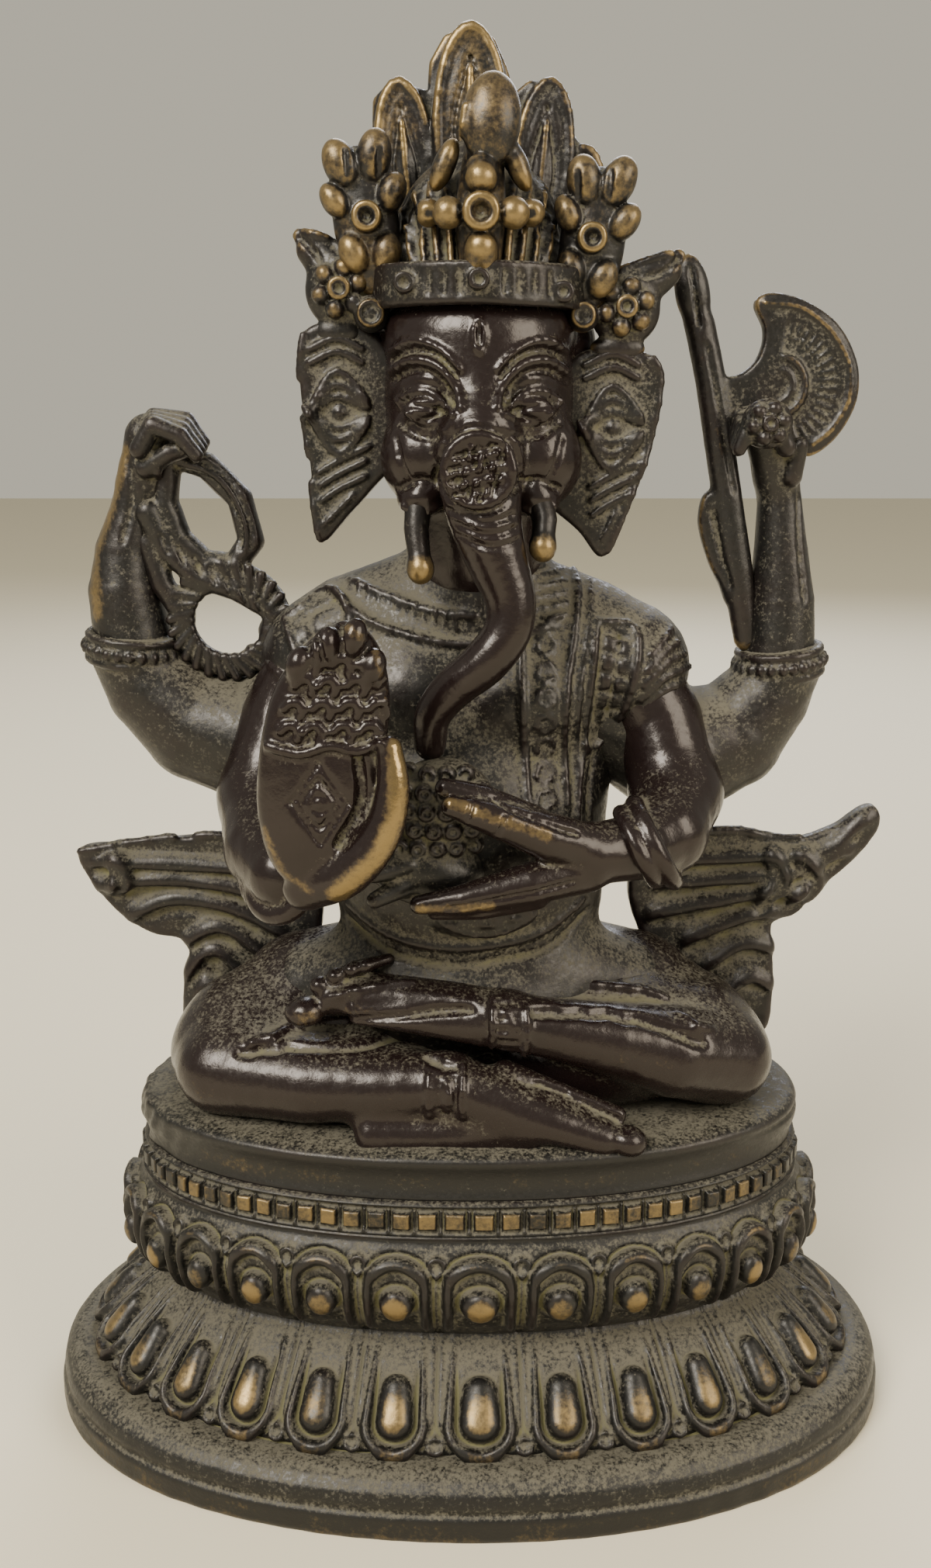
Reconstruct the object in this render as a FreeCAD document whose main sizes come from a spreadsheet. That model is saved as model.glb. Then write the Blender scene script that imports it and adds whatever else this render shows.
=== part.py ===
"""Seated four-armed elephant-headed figure, cast in copper alloy, on a double lotus base.

Millimetres, +Z up, the front towards -Y. The origin is the centre of the face that the base
rests on. Right and left are the figure's own, so the right side is at -X.
"""
import FreeCAD, Part
import math
import os
import re

from FreeCAD import Placement, Rotation, Vector

# Driving dimensions, one cell each.
SIZES = {
    # base: an oval, wide across the figure and shallow from front to back
    "foot_half_width": 45.0,
    "foot_half_depth": 29.0,
    "lip_height": 2.6,
    "lip_step": 0.5,
    "foot_height": 6.2,
    "foot_wall": 4.0,
    "plate_thickness": 0.8,
    "plate_clearance": 0.1,
    "wall": 2.2,
    "lotus_inset": 4.5,
    "lower_lotus_height": 8.2,
    "waist_inset": 11.6,
    "upper_lotus_height": 11.6,
    "swell_inset": 8.2,
    "rim_inset": 9.2,
    "bead_band_height": 3.2,
    "bead_swell": 0.6,
    "pad_height": 5.3,
    "pad_inset": 9.6,
    "pad_neck_inset": 11.0,
    "petals": 28,
    "petal_half_width": 2.5,
    "petal_rise": 1.2,
    "stud_radius": 1.7,
    # legs
    "knee_reach": 22.8,
    "knee_forward": 4.5,
    "knee_radius": 7.8,
    "thigh_radius": 8.0,
    "shin_radius": 4.2,
    "ankle_radius": 3.2,
    "foot_thickness": 2.4,
    # trunk of the body
    "belly_half_width": 12.4,
    "belly_half_depth": 10.0,
    "belly_rise": 20.5,
    "belly_half_height": 13.0,
    "chest_half_width": 14.0,
    "chest_half_depth": 9.0,
    "chest_rise": 40.0,
    "chest_half_height": 15.0,
    "shoulder_spread": 13.0,
    "shoulder_rise": 48.0,
    "shoulder_radius": 6.2,
    # head
    "head_offset": 0.9,
    "head_forward": 2.2,
    "head_rise": 68.0,
    "head_half_width": 9.5,
    "head_half_depth": 10.2,
    "head_half_height": 12.2,
    "cheek_radius": 4.6,
    "trunk_root_radius": 4.4,
    "trunk_tip_radius": 1.8,
    "tusk_radius": 1.2,
    "tusk_length": 8.0,
    "ear_width": 11.4,
    "ear_height": 21.0,
    "ear_thickness": 1.6,
    # crown
    "crown_radius": 10.4,
    "crown_band_height": 4.0,
    "crown_band_wall": 2.2,
    "crown_cap_height": 12.5,
    "crown_cap_top_radius": 6.2,
    "cap_clearance": 0.05,
    "fan_height": 26.8,
    "fan_half_width": 11.0,
    "fan_thickness": 2.0,
    "plaque_height": 21.0,
    "plaque_half_width": 3.4,
    "plaque_thickness": 2.4,
    "rosette_radius": 3.6,
    "rosette_thickness": 2.2,
    # arms
    "arm_radius": 4.9,
    "armlet_radius": 5.2,
    "wrist_radius": 2.6,
    "rear_arm_reach": 33.6,
    "rear_arm_rise": 45.0,
    "rear_hand_rise": 65.5,
    "front_elbow_reach": 21.0,
    "front_elbow_rise": 30.5,
    "hand_thickness": 4.4,
    "palm_half_width": 5.6,
    "palm_half_height": 10.6,
    # attributes
    "noose_ring_radius": 4.9,
    "noose_loop_radius": 3.8,
    "rope_radius": 1.4,
    "shaft_radius": 1.5,
    "shaft_length": 36.5,
    "blade_radius": 8.2,
    "blade_thickness": 1.7,
    "bowl_radius": 6.0,
    "bowl_height": 5.2,
    # scarf ends
    "scarf_span": 42.5,
    "scarf_height": 25.0,
    "scarf_thickness": 1.6,
    "scarf_back": 6.0,
    # fastenings
    "pin_radius": 1.1,
    "pin_clearance": 0.08,
    "pin_half_length": 3.0,
    "tang_radius": 1.8,
    "tang_spread": 10.5,
    "tang_grip": 4.6,
}

# Levels and places that follow from the sizes above.
LEVELS = {
    "waist_level": "foot_height + lower_lotus_height",
    "band_level": "waist_level + upper_lotus_height",
    "pad_level": "band_level + bead_band_height",
    "seat_top": "pad_level + pad_height",
    "belly_level": "seat_top + belly_rise",
    "chest_level": "seat_top + chest_rise",
    "shoulder_level": "seat_top + shoulder_rise",
    "head_level": "seat_top + head_rise",
    "brow_level": "head_level + head_half_height * 0.86",
    "cap_level": "brow_level + crown_band_height",
    "rear_arm_level": "seat_top + rear_arm_rise",
    "rear_hand_level": "seat_top + rear_hand_rise",
    "elbow_level": "seat_top + front_elbow_rise",
}

JOINT_FULLNESS = 1.02  # of a limb's round joint against the runs that meet in it

doc = FreeCAD.newDocument("Statuette")
sheet = doc.addObject("Spreadsheet::Sheet", "Sizes")
for row, (alias, number) in enumerate(SIZES.items(), start=1):
    sheet.set(f"A{row}", alias)
    sheet.set(f"B{row}", str(number))
    sheet.setAlias(f"B{row}", alias)
doc.recompute()

pieces = []  # the finished sub-parts, one node each


def formula(text):
    """The expression with each level opened up and each size named in the sheet."""
    def swap(match):
        word = match.group(0)
        if word in LEVELS:
            return "(" + formula(LEVELS[word]) + ")"
        return "Sizes." + word if word in SIZES else word
    return re.sub(r"[a-z]+(?:_[a-z]+)*", swap, str(text))


def amount(text):
    """The number that a formula has now."""
    return float(sheet.evalExpression(formula(text)))


def point(place):
    return Vector(*(amount(part) for part in place))


def bind(item, **properties):
    """Tie properties to the sheet. A double underscore in a name stands for a dot."""
    for name, text in properties.items():
        item.setExpression(name.replace("__", "."), formula(text))
    return item


def put(item, place, turn=None):
    """Place an object, with its position tied to the sheet and its turn given."""
    if turn is not None:
        item.Placement = Placement(Vector(), turn)
    for axis, text in zip("xyz", place):
        item.setExpression("Placement.Base." + axis, formula(text))
    return item


def piece(item, label):
    """Name a finished sub-part."""
    item.Label = label
    pieces.append(item)
    return item


def ellipsoid(name, place, half_width, half_depth, half_height, turn=None):
    item = doc.addObject("Part::Ellipsoid", name)
    bind(item, Radius1=half_height, Radius2=half_width, Radius3=half_depth)
    return put(item, place, turn)


def cylinder(name, place, radius, length, turn=None):
    item = doc.addObject("Part::Cylinder", name)
    bind(item, Radius=radius, Height=length)
    return put(item, place, turn)


def fuse(name, items):
    item = doc.addObject("Part::MultiFuse", name)
    item.Shapes = items
    return item


def cut(name, base, *tools):
    """The base less each tool in turn."""
    for count, tool in enumerate(tools):
        item = doc.addObject("Part::Cut", f"{name}_{count}")
        item.Base = base
        item.Tool = tool
        base = item
    return base


def limb(name, joints):
    """A chain of tapered runs between round joints, each joint a place and a radius."""
    places = [point(place) for place, radius in joints]
    radii = [amount(radius) for place, radius in joints]
    # A joint is a little fuller than the runs that meet in it, so that no two faces are tangent.
    solids = [Part.makeSphere(radius * JOINT_FULLNESS, place) for place, radius in zip(places, radii)]
    shape = solids[0]
    for start, end, first, last, knuckle in zip(places, places[1:], radii, radii[1:], solids[1:]):
        run = end - start
        if abs(first - last) < 1e-6:
            rod = Part.makeCylinder(first, run.Length, start, run)
        else:
            rod = Part.makeCone(first, last, run.Length, start, run)
        shape = shape.fuse(rod).fuse(knuckle)
    for solid in solids:
        if not shape.BoundBox.isInside(solid.BoundBox.Center) or shape.common(solid).Volume < 0.99 * solid.Volume:
            raise RuntimeError("a joint is missing from " + name)
    item = doc.addObject("Part::Feature", name)
    item.Shape = shape
    return item


def ring(name, place, radius, tube, turn=None):
    """A ring of rope or wire."""
    item = doc.addObject("Part::Torus", name)
    bind(item, Radius1=radius, Radius2=tube)
    return put(item, place, turn)


def plate(name, place, outline, width, height, thickness, turn=None):
    """A flat casting: a smooth closed outline, given in shares of its width and height, made solid.

    The outline lies in the XZ plane and the thickness runs to both sides of it.
    """
    wide, tall, thick = amount(width), amount(height), amount(thickness)
    corners = [Vector(across * wide, -thick / 2, up * tall) for across, up in outline]
    curve = Part.BSplineCurve()
    curve.interpolate(Points=corners, PeriodicFlag=True)
    face = Part.Face(Part.Wire([curve.toShape()]))
    item = doc.addObject("Part::Feature", name)
    item.Shape = face.extrude(Vector(0, thick, 0))
    return put(item, place, turn)


def oval_block(name, sections):
    """A solid with straight sides between oval sections, each an inset from the foot's edge and a height."""
    ovals = []
    for count, (inset, height) in enumerate(sections):
        oval = doc.addObject("Part::Ellipse", f"{name}_section_{count}")
        bind(oval, MajorRadius=f"foot_half_width - ({inset})", MinorRadius=f"foot_half_depth - ({inset})")
        ovals.append(put(oval, ("0", "0", height)))
    item = doc.addObject("Part::Loft", name)
    item.Sections = ovals
    item.Solid = True
    item.Ruled = True
    return item


def oval_ring(name, sections, wall):
    """An oval ring of even wall, open below and above."""
    outside = oval_block(name + "_outside", sections)
    inside = oval_block(name + "_inside", [(f"{inset} + {wall}", height) for inset, height in sections])
    return cut(name, outside, inside)


def around_oval(inset, count):
    """Points at even steps along an oval's edge, with the outward direction at each, in degrees from +X."""
    half_width = amount(f"foot_half_width - ({inset})")
    half_depth = amount(f"foot_half_depth - ({inset})")
    steps = 1440
    angles = [2 * math.pi * step / steps for step in range(steps + 1)]
    spots = [(half_width * math.cos(angle), half_depth * math.sin(angle)) for angle in angles]
    lengths = [0.0]
    for (across, deep), (next_across, next_deep) in zip(spots, spots[1:]):
        lengths.append(lengths[-1] + math.hypot(next_across - across, next_deep - deep))
    for number in range(count):
        target = lengths[-1] * (number + 0.5) / count
        step = next(index for index, length in enumerate(lengths) if length >= target)
        across, deep = spots[step]
        outward = math.degrees(math.atan2(deep / half_depth ** 2, across / half_width ** 2))
        yield across, deep, outward


def studded(name, ring_body, inset, height, half_width, rise, half_height):
    """Round bosses at even steps round an oval ring."""
    bosses = []
    for number, (across, deep, outward) in enumerate(around_oval(inset, int(amount("petals")))):
        boss = doc.addObject("Part::Ellipsoid", f"{name}_boss_{number}")
        bind(boss, Radius1=half_height, Radius2=rise, Radius3=half_width)
        boss.Placement = Placement(Vector(across, deep, amount(height)), Rotation(Vector(0, 0, 1), outward))
        bosses.append(boss)
    return fuse(name + "_studded", [ring_body] + bosses)


def mirrored(place):
    """The same place on the figure's left."""
    return (f"-({place[0]})",) + tuple(place[1:])


# ---------------------------------------------------------------- base
foot_block = oval_block("foot_block", [
    ("0", "0"),
    ("0", "lip_height"),
    ("lip_step", "lip_height + 0.2"),
    ("lip_step", "lip_height + (foot_height - lip_height) * 0.5"),
    ("lotus_inset * 0.6", "foot_height"),
])
plate_seat = oval_block("plate_seat", [("foot_wall", "0"), ("foot_wall", "plate_thickness")])
foot_hollow = oval_block("foot_hollow", [("lotus_inset + wall", "0"), ("lotus_inset + wall", "foot_height")])
piece(cut("foot", foot_block, plate_seat, foot_hollow), "foot_ring")
piece(oval_block("plate", [("foot_wall + plate_clearance", "0"), ("foot_wall + plate_clearance", "plate_thickness")]),
      "base_plate")

lower_ring_body = oval_ring("lower_lotus_body", [
    ("lotus_inset", "foot_height"),
    ("waist_inset", "waist_level"),
], "wall")
piece(studded("lower_lotus", lower_ring_body, "(lotus_inset + waist_inset) / 2", "(foot_height + waist_level) / 2",
              "petal_half_width", "petal_rise", "lower_lotus_height * 0.4"), "lower_lotus")

upper_ring_body = oval_ring("upper_lotus_body", [
    ("waist_inset", "waist_level"),
    ("swell_inset", "waist_level + upper_lotus_height * 0.5"),
    ("rim_inset", "band_level"),
], "wall")
piece(studded("upper_lotus", upper_ring_body, "swell_inset", "waist_level + upper_lotus_height * 0.5",
              "stud_radius", "petal_rise", "stud_radius"), "upper_lotus")

piece(oval_ring("bead_rim_body", [
    ("rim_inset", "band_level"),
    ("rim_inset - bead_swell", "band_level + bead_band_height * 0.3"),
    ("rim_inset - bead_swell", "band_level + bead_band_height * 0.7"),
    ("rim_inset", "pad_level"),
], "wall + bead_swell + pad_neck_inset - rim_inset"), "bead_rim")

pad_outside = oval_block("pad_outside", [
    ("pad_neck_inset", "pad_level"),
    ("pad_neck_inset", "pad_level + pad_height * 0.3"),
    ("pad_inset", "pad_level + pad_height * 0.55"),
    ("pad_inset", "pad_level + pad_height * 0.8"),
    ("pad_inset + wall", "seat_top"),
])
pad_inside = oval_block("pad_inside", [("pad_neck_inset + wall", "pad_level"),
                                       ("pad_neck_inset + wall", "seat_top - wall")])
pad_block = cut("pad_block", pad_outside, pad_inside)

# ---------------------------------------------------------------- legs
HIP = ("tang_spread", "1", "seat_top + thigh_radius * 0.85")
KNEE = ("knee_reach", "-knee_forward", "seat_top + knee_radius * 0.5")
right_leg_block = limb("right_leg_block", [
    (mirrored(HIP), "thigh_radius"),
    (mirrored(KNEE), "knee_radius"),
    (("-knee_reach * 0.62", "-knee_forward - 7", "seat_top + shin_radius * 0.75"), "shin_radius"),
    (("-4.2", "-knee_forward - 9.5", "seat_top + ankle_radius * 1.2"), "ankle_radius"),
    (("5", "-knee_forward - 11", "seat_top + foot_thickness * 1.2"), "foot_thickness"),
    (("14", "-knee_forward - 11.5", "seat_top + foot_thickness * 0.3"), "foot_thickness * 0.8"),
])
left_leg_block = limb("left_leg_block", [
    (HIP, "thigh_radius"),
    (KNEE, "knee_radius"),
    (("knee_reach * 0.6", "-knee_forward - 6", "seat_top + knee_radius * 0.9"), "shin_radius"),
    (("3.7", "-knee_forward - 9", "seat_top + knee_radius * 1.35"), "ankle_radius"),
    (("-6", "-knee_forward - 7.5", "seat_top + knee_radius * 1.6"), "foot_thickness"),
    (("-16", "-knee_forward - 5.5", "seat_top + knee_radius * 1.45"), "foot_thickness * 0.9"),
])
below_seat = doc.addObject("Part::Box", "below_seat")
bind(below_seat, Length="4 * foot_half_width", Width="4 * foot_half_width", Height="seat_top")
put(below_seat, ("-2 * foot_half_width", "-2 * foot_half_width", "0"))

# ---------------------------------------------------------------- torso and head
belly = ellipsoid("belly", ("0", "0", "belly_level"), "belly_half_width", "belly_half_depth", "belly_half_height")
chest = ellipsoid("chest", ("0", "2", "chest_level"), "chest_half_width", "chest_half_depth", "chest_half_height")
shoulders = limb("shoulders", [
    (("-shoulder_spread", "2", "shoulder_level"), "shoulder_radius"),
    (("shoulder_spread", "2", "shoulder_level"), "shoulder_radius"),
])
neck = limb("neck", [
    (("0", "1", "shoulder_level"), "shoulder_radius"),
    (("head_offset", "0", "head_level - head_half_height"), "shoulder_radius * 0.9"),
])
torso_block = fuse("torso_block", [belly, chest, shoulders, neck])

HEAD = ("head_offset", "-head_forward", "head_level")
skull = ellipsoid("skull", HEAD, "head_half_width", "head_half_depth", "head_half_height")
cheeks = [
    ellipsoid(f"cheek_{side}", (f"head_offset + {side} * head_half_width * 0.5",
              "-head_forward - head_half_depth * 0.55", "head_level - head_half_height * 0.3"),
              "cheek_radius", "cheek_radius", "cheek_radius * 1.2")
    for side in (-1, 1)
]
FACE = "-head_forward - head_half_depth"
trunk = limb("trunk", [
    (("head_offset", f"{FACE} - 0.2", "head_level - head_half_height * 0.4"), "trunk_root_radius"),
    (("head_offset + 1.5", f"{FACE} - 2.6", "head_level - head_half_height * 0.82"), "trunk_root_radius * 0.88"),
    (("head_offset + 2.4", f"{FACE} - 3", "head_level - head_half_height * 1.27"), "trunk_root_radius * 0.76"),
    (("head_offset", f"{FACE} - 2.8", "head_level - head_half_height * 1.72"), "trunk_root_radius * 0.64"),
    (("head_offset - 4.2", f"{FACE} - 2", "head_level - head_half_height * 2.1"), "trunk_root_radius * 0.54"),
    (("head_offset - 4.6", f"{FACE} - 1.4", "head_level - head_half_height * 2.42"), "trunk_tip_radius"),
])
head_block = fuse("head_block", [skull] + cheeks + [trunk])

EAR_OUTLINE = [
    (-0.42, 0.42), (-0.05, 0.5), (0.45, 0.45), (0.53, 0.3), (0.45, -0.05),
    (0.36, -0.47), (0.28, -0.48), (0.08, -0.3), (-0.42, -0.05),
]
TUSK_TILT = {-1: 5, 1: -4}
ear_blocks = {}
tusk_blocks = {}
for side in (-1, 1):
    ear_blocks[side] = plate(
        f"ear_block_{side}",
        (f"head_offset + {side} * (head_half_width + ear_width * 0.15)", "0", "head_level + 0.8"),
        [(side * across, up) for across, up in EAR_OUTLINE], "ear_width", "ear_height", "ear_thickness",
        Rotation(Vector(0, 0, 1), side * 12))
    root = (f"head_offset + {side} * head_half_width * 0.6",
            "-head_forward - head_half_depth * 0.62", "head_level - head_half_height * 0.62")
    tip = (f"head_offset + {side} * head_half_width * 0.6", "-head_forward - head_half_depth * 0.85",
           "head_level - head_half_height * 0.62 - tusk_length")
    tusk_blocks[side] = limb(f"tusk_block_{side}", [(root, "tusk_radius * 1.15"), (tip, "tusk_radius")])

# ---------------------------------------------------------------- crown
CROWN = ("head_offset", "-head_forward * 0.6")
band_outside = cylinder("band_outside", CROWN + ("brow_level",), "crown_radius", "crown_band_height")
band_inside = cylinder("band_inside", CROWN + ("brow_level",), "crown_radius - crown_band_wall", "crown_band_height")
cap = doc.addObject("Part::Cone", "cap")
bind(cap, Radius1="crown_radius - crown_band_wall - cap_clearance", Radius2="crown_cap_top_radius",
     Height="crown_band_height + crown_cap_height")
put(cap, CROWN + ("brow_level",))

# The fan's right half in shares of its width and height: a tall middle leaf, a side leaf and a low outer one.
FAN_HALF = [
    (0.0, 1.0), (0.11, 0.94), (0.17, 0.84), (0.2, 0.78), (0.25, 0.8), (0.32, 0.8), (0.38, 0.74),
    (0.41, 0.62), (0.45, 0.57), (0.49, 0.46), (0.48, 0.24), (0.36, 0.02), (0.0, 0.0),
]
fan_outline = FAN_HALF + [(-across, up) for across, up in reversed(FAN_HALF[1:-1])]
fan_block = plate("fan_block", ("head_offset", "crown_radius - crown_band_wall - head_forward * 0.6 - fan_thickness / 2",
                                "cap_level"), fan_outline, "2 * fan_half_width", "fan_height - crown_band_height",
                  "fan_thickness")

# Each plaque: its height as a share of the front one's, and its turn about the vertical in degrees.
PLAQUES = {
    "front_plaque": (1.0, 0),
    "right_plaque": (0.74, -52),
    "left_plaque": (0.74, 52),
}
plaque_blocks = {}
for label, (share, yaw) in PLAQUES.items():
    turn = Rotation(Vector(0, 0, 1), yaw)
    outward = turn.multVec(Vector(0, -1, 0))
    reach = "(crown_radius - plaque_thickness * 0.4)"
    place = (f"head_offset + {outward.x:.6f} * {reach}", f"-head_forward * 0.6 + {outward.y:.6f} * {reach}",
             f"brow_level + plaque_height * {share} * 0.46")
    leaf = ellipsoid(label + "_leaf", place, "plaque_half_width", "plaque_thickness / 2",
                     f"plaque_height * {share} * 0.46", turn)
    flower_place = (place[0], place[1], f"brow_level + plaque_height * {share} * 0.38")
    flower = ellipsoid(label + "_flower", flower_place, "rosette_radius", "rosette_thickness", "rosette_radius", turn)
    plaque_blocks[label] = fuse(label + "_block", [leaf, flower])

rosette_blocks = {}
for label, side in (("right_ear_rosette", -1), ("left_ear_rosette", 1)):
    place = (f"head_offset + {side} * (crown_radius + rosette_radius * 1.05)", "0",
             "brow_level + crown_band_height * 0.9")
    rosette_blocks[label] = cylinder(label + "_disc", place, "rosette_radius * 1.2", "rosette_thickness * 1.8",
                                     Rotation(Vector(1, 0, 0), 90))

# ---------------------------------------------------------------- rear arms and what they hold
REAR_ELBOW = ("rear_arm_reach", "3", "rear_arm_level")
rear_arm_blocks = {}
rear_forearm_blocks = {}
for label, side in (("right", -1), ("left", 1)):
    across = mirrored if side < 0 else (lambda place: place)
    upper = limb(f"rear_{label}_upper", [
        (across(("chest_half_width * 0.8", "3", "shoulder_level - 13")), "arm_radius * 1.15"),
        (across(("rear_arm_reach * 0.68", "3.4", "rear_arm_level - 12")), "arm_radius * 1.08"),
        (across(REAR_ELBOW), "arm_radius * 0.9"),
    ])
    armlet = cylinder(f"rear_{label}_armlet",
                      across(("rear_arm_reach - 1.2", "3", "rear_arm_level - 3")), "armlet_radius", "4",
                      Rotation(Vector(0, 1, 0), side * 22))
    rear_arm_blocks[label] = fuse(f"rear_{label}_arm_block", [upper, armlet])
    rear_forearm_blocks[label] = limb(f"rear_{label}_forearm_block", [
        (across(("rear_arm_reach + 0.2", "3", "rear_arm_level + 3.6")), "arm_radius * 0.82"),
        (across(("rear_arm_reach - 0.6", "3", "rear_arm_level + 11")), "wrist_radius * 1.25"),
        (across(("rear_arm_reach - 2", "3", "rear_hand_level - 4.5")), "wrist_radius"),
        (across(("rear_arm_reach - 3", "2", "rear_hand_level + 0.4")), "wrist_radius"),
        (across(("rear_arm_reach - 6", "0.5", "rear_hand_level + 0.8")), "wrist_radius * 0.6"),
    ])

FLAT = Rotation(Vector(1, 0, 0), 90)
NOOSE_ACROSS = "-rear_arm_reach + 4.2 + noose_ring_radius"
RING_LEVEL = "rear_arm_level + 3.9"
lower_ring = ring("lower_ring", (NOOSE_ACROSS, "2", RING_LEVEL), "noose_ring_radius", "rope_radius", FLAT)
upper_loop = ring("upper_loop", (NOOSE_ACROSS + " - 1.4", "2", f"{RING_LEVEL} + noose_ring_radius + noose_loop_radius"),
                  "noose_loop_radius", "rope_radius", FLAT)
noose_block = fuse("noose_block", [lower_ring, upper_loop])

shaft = limb("shaft", [
    (("rear_arm_reach - 5.6", "2", "rear_arm_level + 2.2"), "shaft_radius * 0.8"),
    (("rear_arm_reach - 7", "2.2", "rear_arm_level + 2.2 + shaft_length * 0.21"), "shaft_radius * 1.3"),
    (("rear_arm_reach - 8.4", "2.5", "rear_arm_level + 2.2 + shaft_length * 0.42"), "shaft_radius * 0.9"),
    (("rear_arm_reach - 12.3", "3", "rear_arm_level + 2.2 + shaft_length"), "shaft_radius * 0.8"),
])
BLADE_LEVEL = "rear_arm_level + 2.2 + shaft_length * 0.7"
blade_round = cylinder("blade_round", ("rear_arm_reach - 4", "3 + blade_thickness / 2", BLADE_LEVEL),
                       "blade_radius", "blade_thickness", FLAT)
blade_hollow = cylinder("blade_hollow",
                        ("rear_arm_reach - 4 - blade_radius * 0.85", "3 + blade_thickness",
                         f"{BLADE_LEVEL} + blade_radius * 0.8"),
                        "blade_radius * 0.55", "2 * blade_thickness", FLAT)
blade_low = cylinder("blade_low",
                     ("rear_arm_reach - 4 - blade_radius * 0.5", "3 + blade_thickness",
                      f"{BLADE_LEVEL} - blade_radius * 1.25"),
                     "blade_radius * 0.8", "2 * blade_thickness", FLAT)
blade = cut("blade", blade_round, blade_hollow, blade_low)
axe_block = fuse("axe_block", [shaft, blade])

# ---------------------------------------------------------------- front arms
front_right_block = limb("front_right_block", [
    (("-shoulder_spread", "0", "shoulder_level - 3"), "shoulder_radius * 0.98"),
    (("-front_elbow_reach", "-4", "elbow_level"), "arm_radius * 1.05"),
    (("-front_elbow_reach + 1.6", "-11", "elbow_level - 3.4"), "arm_radius * 0.85"),
    (("-front_elbow_reach + 4.6", "-17", "elbow_level - 3.2"), "wrist_radius * 1.35"),
])
palm = ellipsoid("palm", ("-12.6", "-21", "elbow_level + palm_half_height * 0.85"),
                 "palm_half_width", "hand_thickness / 2", "palm_half_height", Rotation(Vector(0, 1, 0), 11))
thumb = limb("thumb", [
    (("-12.4", "-21.4", "elbow_level + 1.4"), "hand_thickness * 0.42"),
    (("-6.2", "-22.6", "elbow_level + 10.8"), "hand_thickness * 0.3"),
])
right_hand_block = fuse("right_hand_block", [palm, thumb])
front_left_block = limb("front_left_block", [
    (("shoulder_spread + 1", "0", "shoulder_level - 3"), "shoulder_radius * 1.02"),
    (("front_elbow_reach - 0.6", "-4", "elbow_level + 2.5"), "arm_radius * 1.05"),
    (("front_elbow_reach - 5", "-11.5", "elbow_level - 0.6"), "wrist_radius * 1.35"),
])
left_hand_block = fuse("left_hand_block", [
    ellipsoid("upper_fingers", ("6.6", "-16", "elbow_level + 1.6"), "9.2", "wrist_radius * 0.9", "wrist_radius * 0.9",
              Rotation(Vector(0, 0, 1), 14) * Rotation(Vector(0, 1, 0), 18)),
    ellipsoid("lower_fingers", ("2.4", "-16.4", "elbow_level - 2.6"), "9.8", "wrist_radius * 0.75",
              "wrist_radius * 0.7", Rotation(Vector(0, 0, 1), 9) * Rotation(Vector(0, 1, 0), 6)),
])
bowl_base = ellipsoid("bowl_base", ("-2.6", "-14", "elbow_level + 0.6"), "bowl_radius", "bowl_radius * 0.75", "bowl_height")

# ---------------------------------------------------------------- scarf ends
SCARF_OUTLINE = [
    (0.26, -0.3), (0.22, 0.1), (0.42, 0.28), (0.66, 0.34), (0.88, 0.46), (0.99, 0.5), (0.97, 0.38),
    (0.84, 0.16), (0.74, -0.02), (0.73, -0.3), (0.68, -0.5), (0.52, -0.36),
]
scarf_blocks = {
    side: plate(f"scarf_block_{side}", ("0", "scarf_back", "seat_top + scarf_height * 0.56"),
                [(side * across, up) for across, up in SCARF_OUTLINE],
                "scarf_span", "scarf_height", "scarf_thickness")
    for side in (-1, 1)
}

# ---------------------------------------------------------------- fastenings
UPWARD = Rotation()
SIDEWAYS = Rotation(Vector(0, 1, 0), 90)
REAR_JOINT = "chest_half_width * 0.92"
# Each pin: the middle of the joint that it crosses, and its direction.
PINS = {
    "neck": (("head_offset", "0", "head_level - head_half_height + shoulder_radius * 0.9"), UPWARD),
    "crown": (CROWN + ("head_level + head_half_height * 0.98",), UPWARD),
}
for side, label in ((-1, "right"), (1, "left")):
    PINS["rear_shoulder_" + label] = ((f"{side} * {REAR_JOINT}", "3", "shoulder_level - 13"), SIDEWAYS)
    PINS["front_shoulder_" + label] = ((f"{side} * (shoulder_spread + 2.5)", "-1.5", "shoulder_level - 5.2"), UPWARD)
    PINS["elbow_" + label] = ((f"{side} * rear_arm_reach", "3", "rear_arm_level + arm_radius * 0.9"), UPWARD)


def pin_start(name):
    """Where a pin begins: half its length before the middle of its joint."""
    (across, deep, up), turn = PINS[name]
    if turn is SIDEWAYS:
        return (f"{across} - pin_half_length", deep, up)
    return (across, deep, f"{up} - pin_half_length")


pins = [cylinder(f"pin_{name}", pin_start(name), "pin_radius", "2 * pin_half_length", PINS[name][1]) for name in PINS]
bores = {name: cylinder(f"bore_{name}", pin_start(name), "pin_radius + pin_clearance", "2 * pin_half_length",
                        PINS[name][1]) for name in PINS}
tangs = []
tang_bores = []
for side in (-1, 1):
    place = (f"{side} * tang_spread", "1", "seat_top - wall - tang_grip * 0.5")
    tangs.append(cylinder(f"tang_{side}", place, "tang_radius", "tang_grip * 1.5 + wall"))
    tang_bores.append(cylinder(f"tang_bore_{side}", place, "tang_radius + pin_clearance", "tang_grip * 1.5 + wall"))

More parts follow.
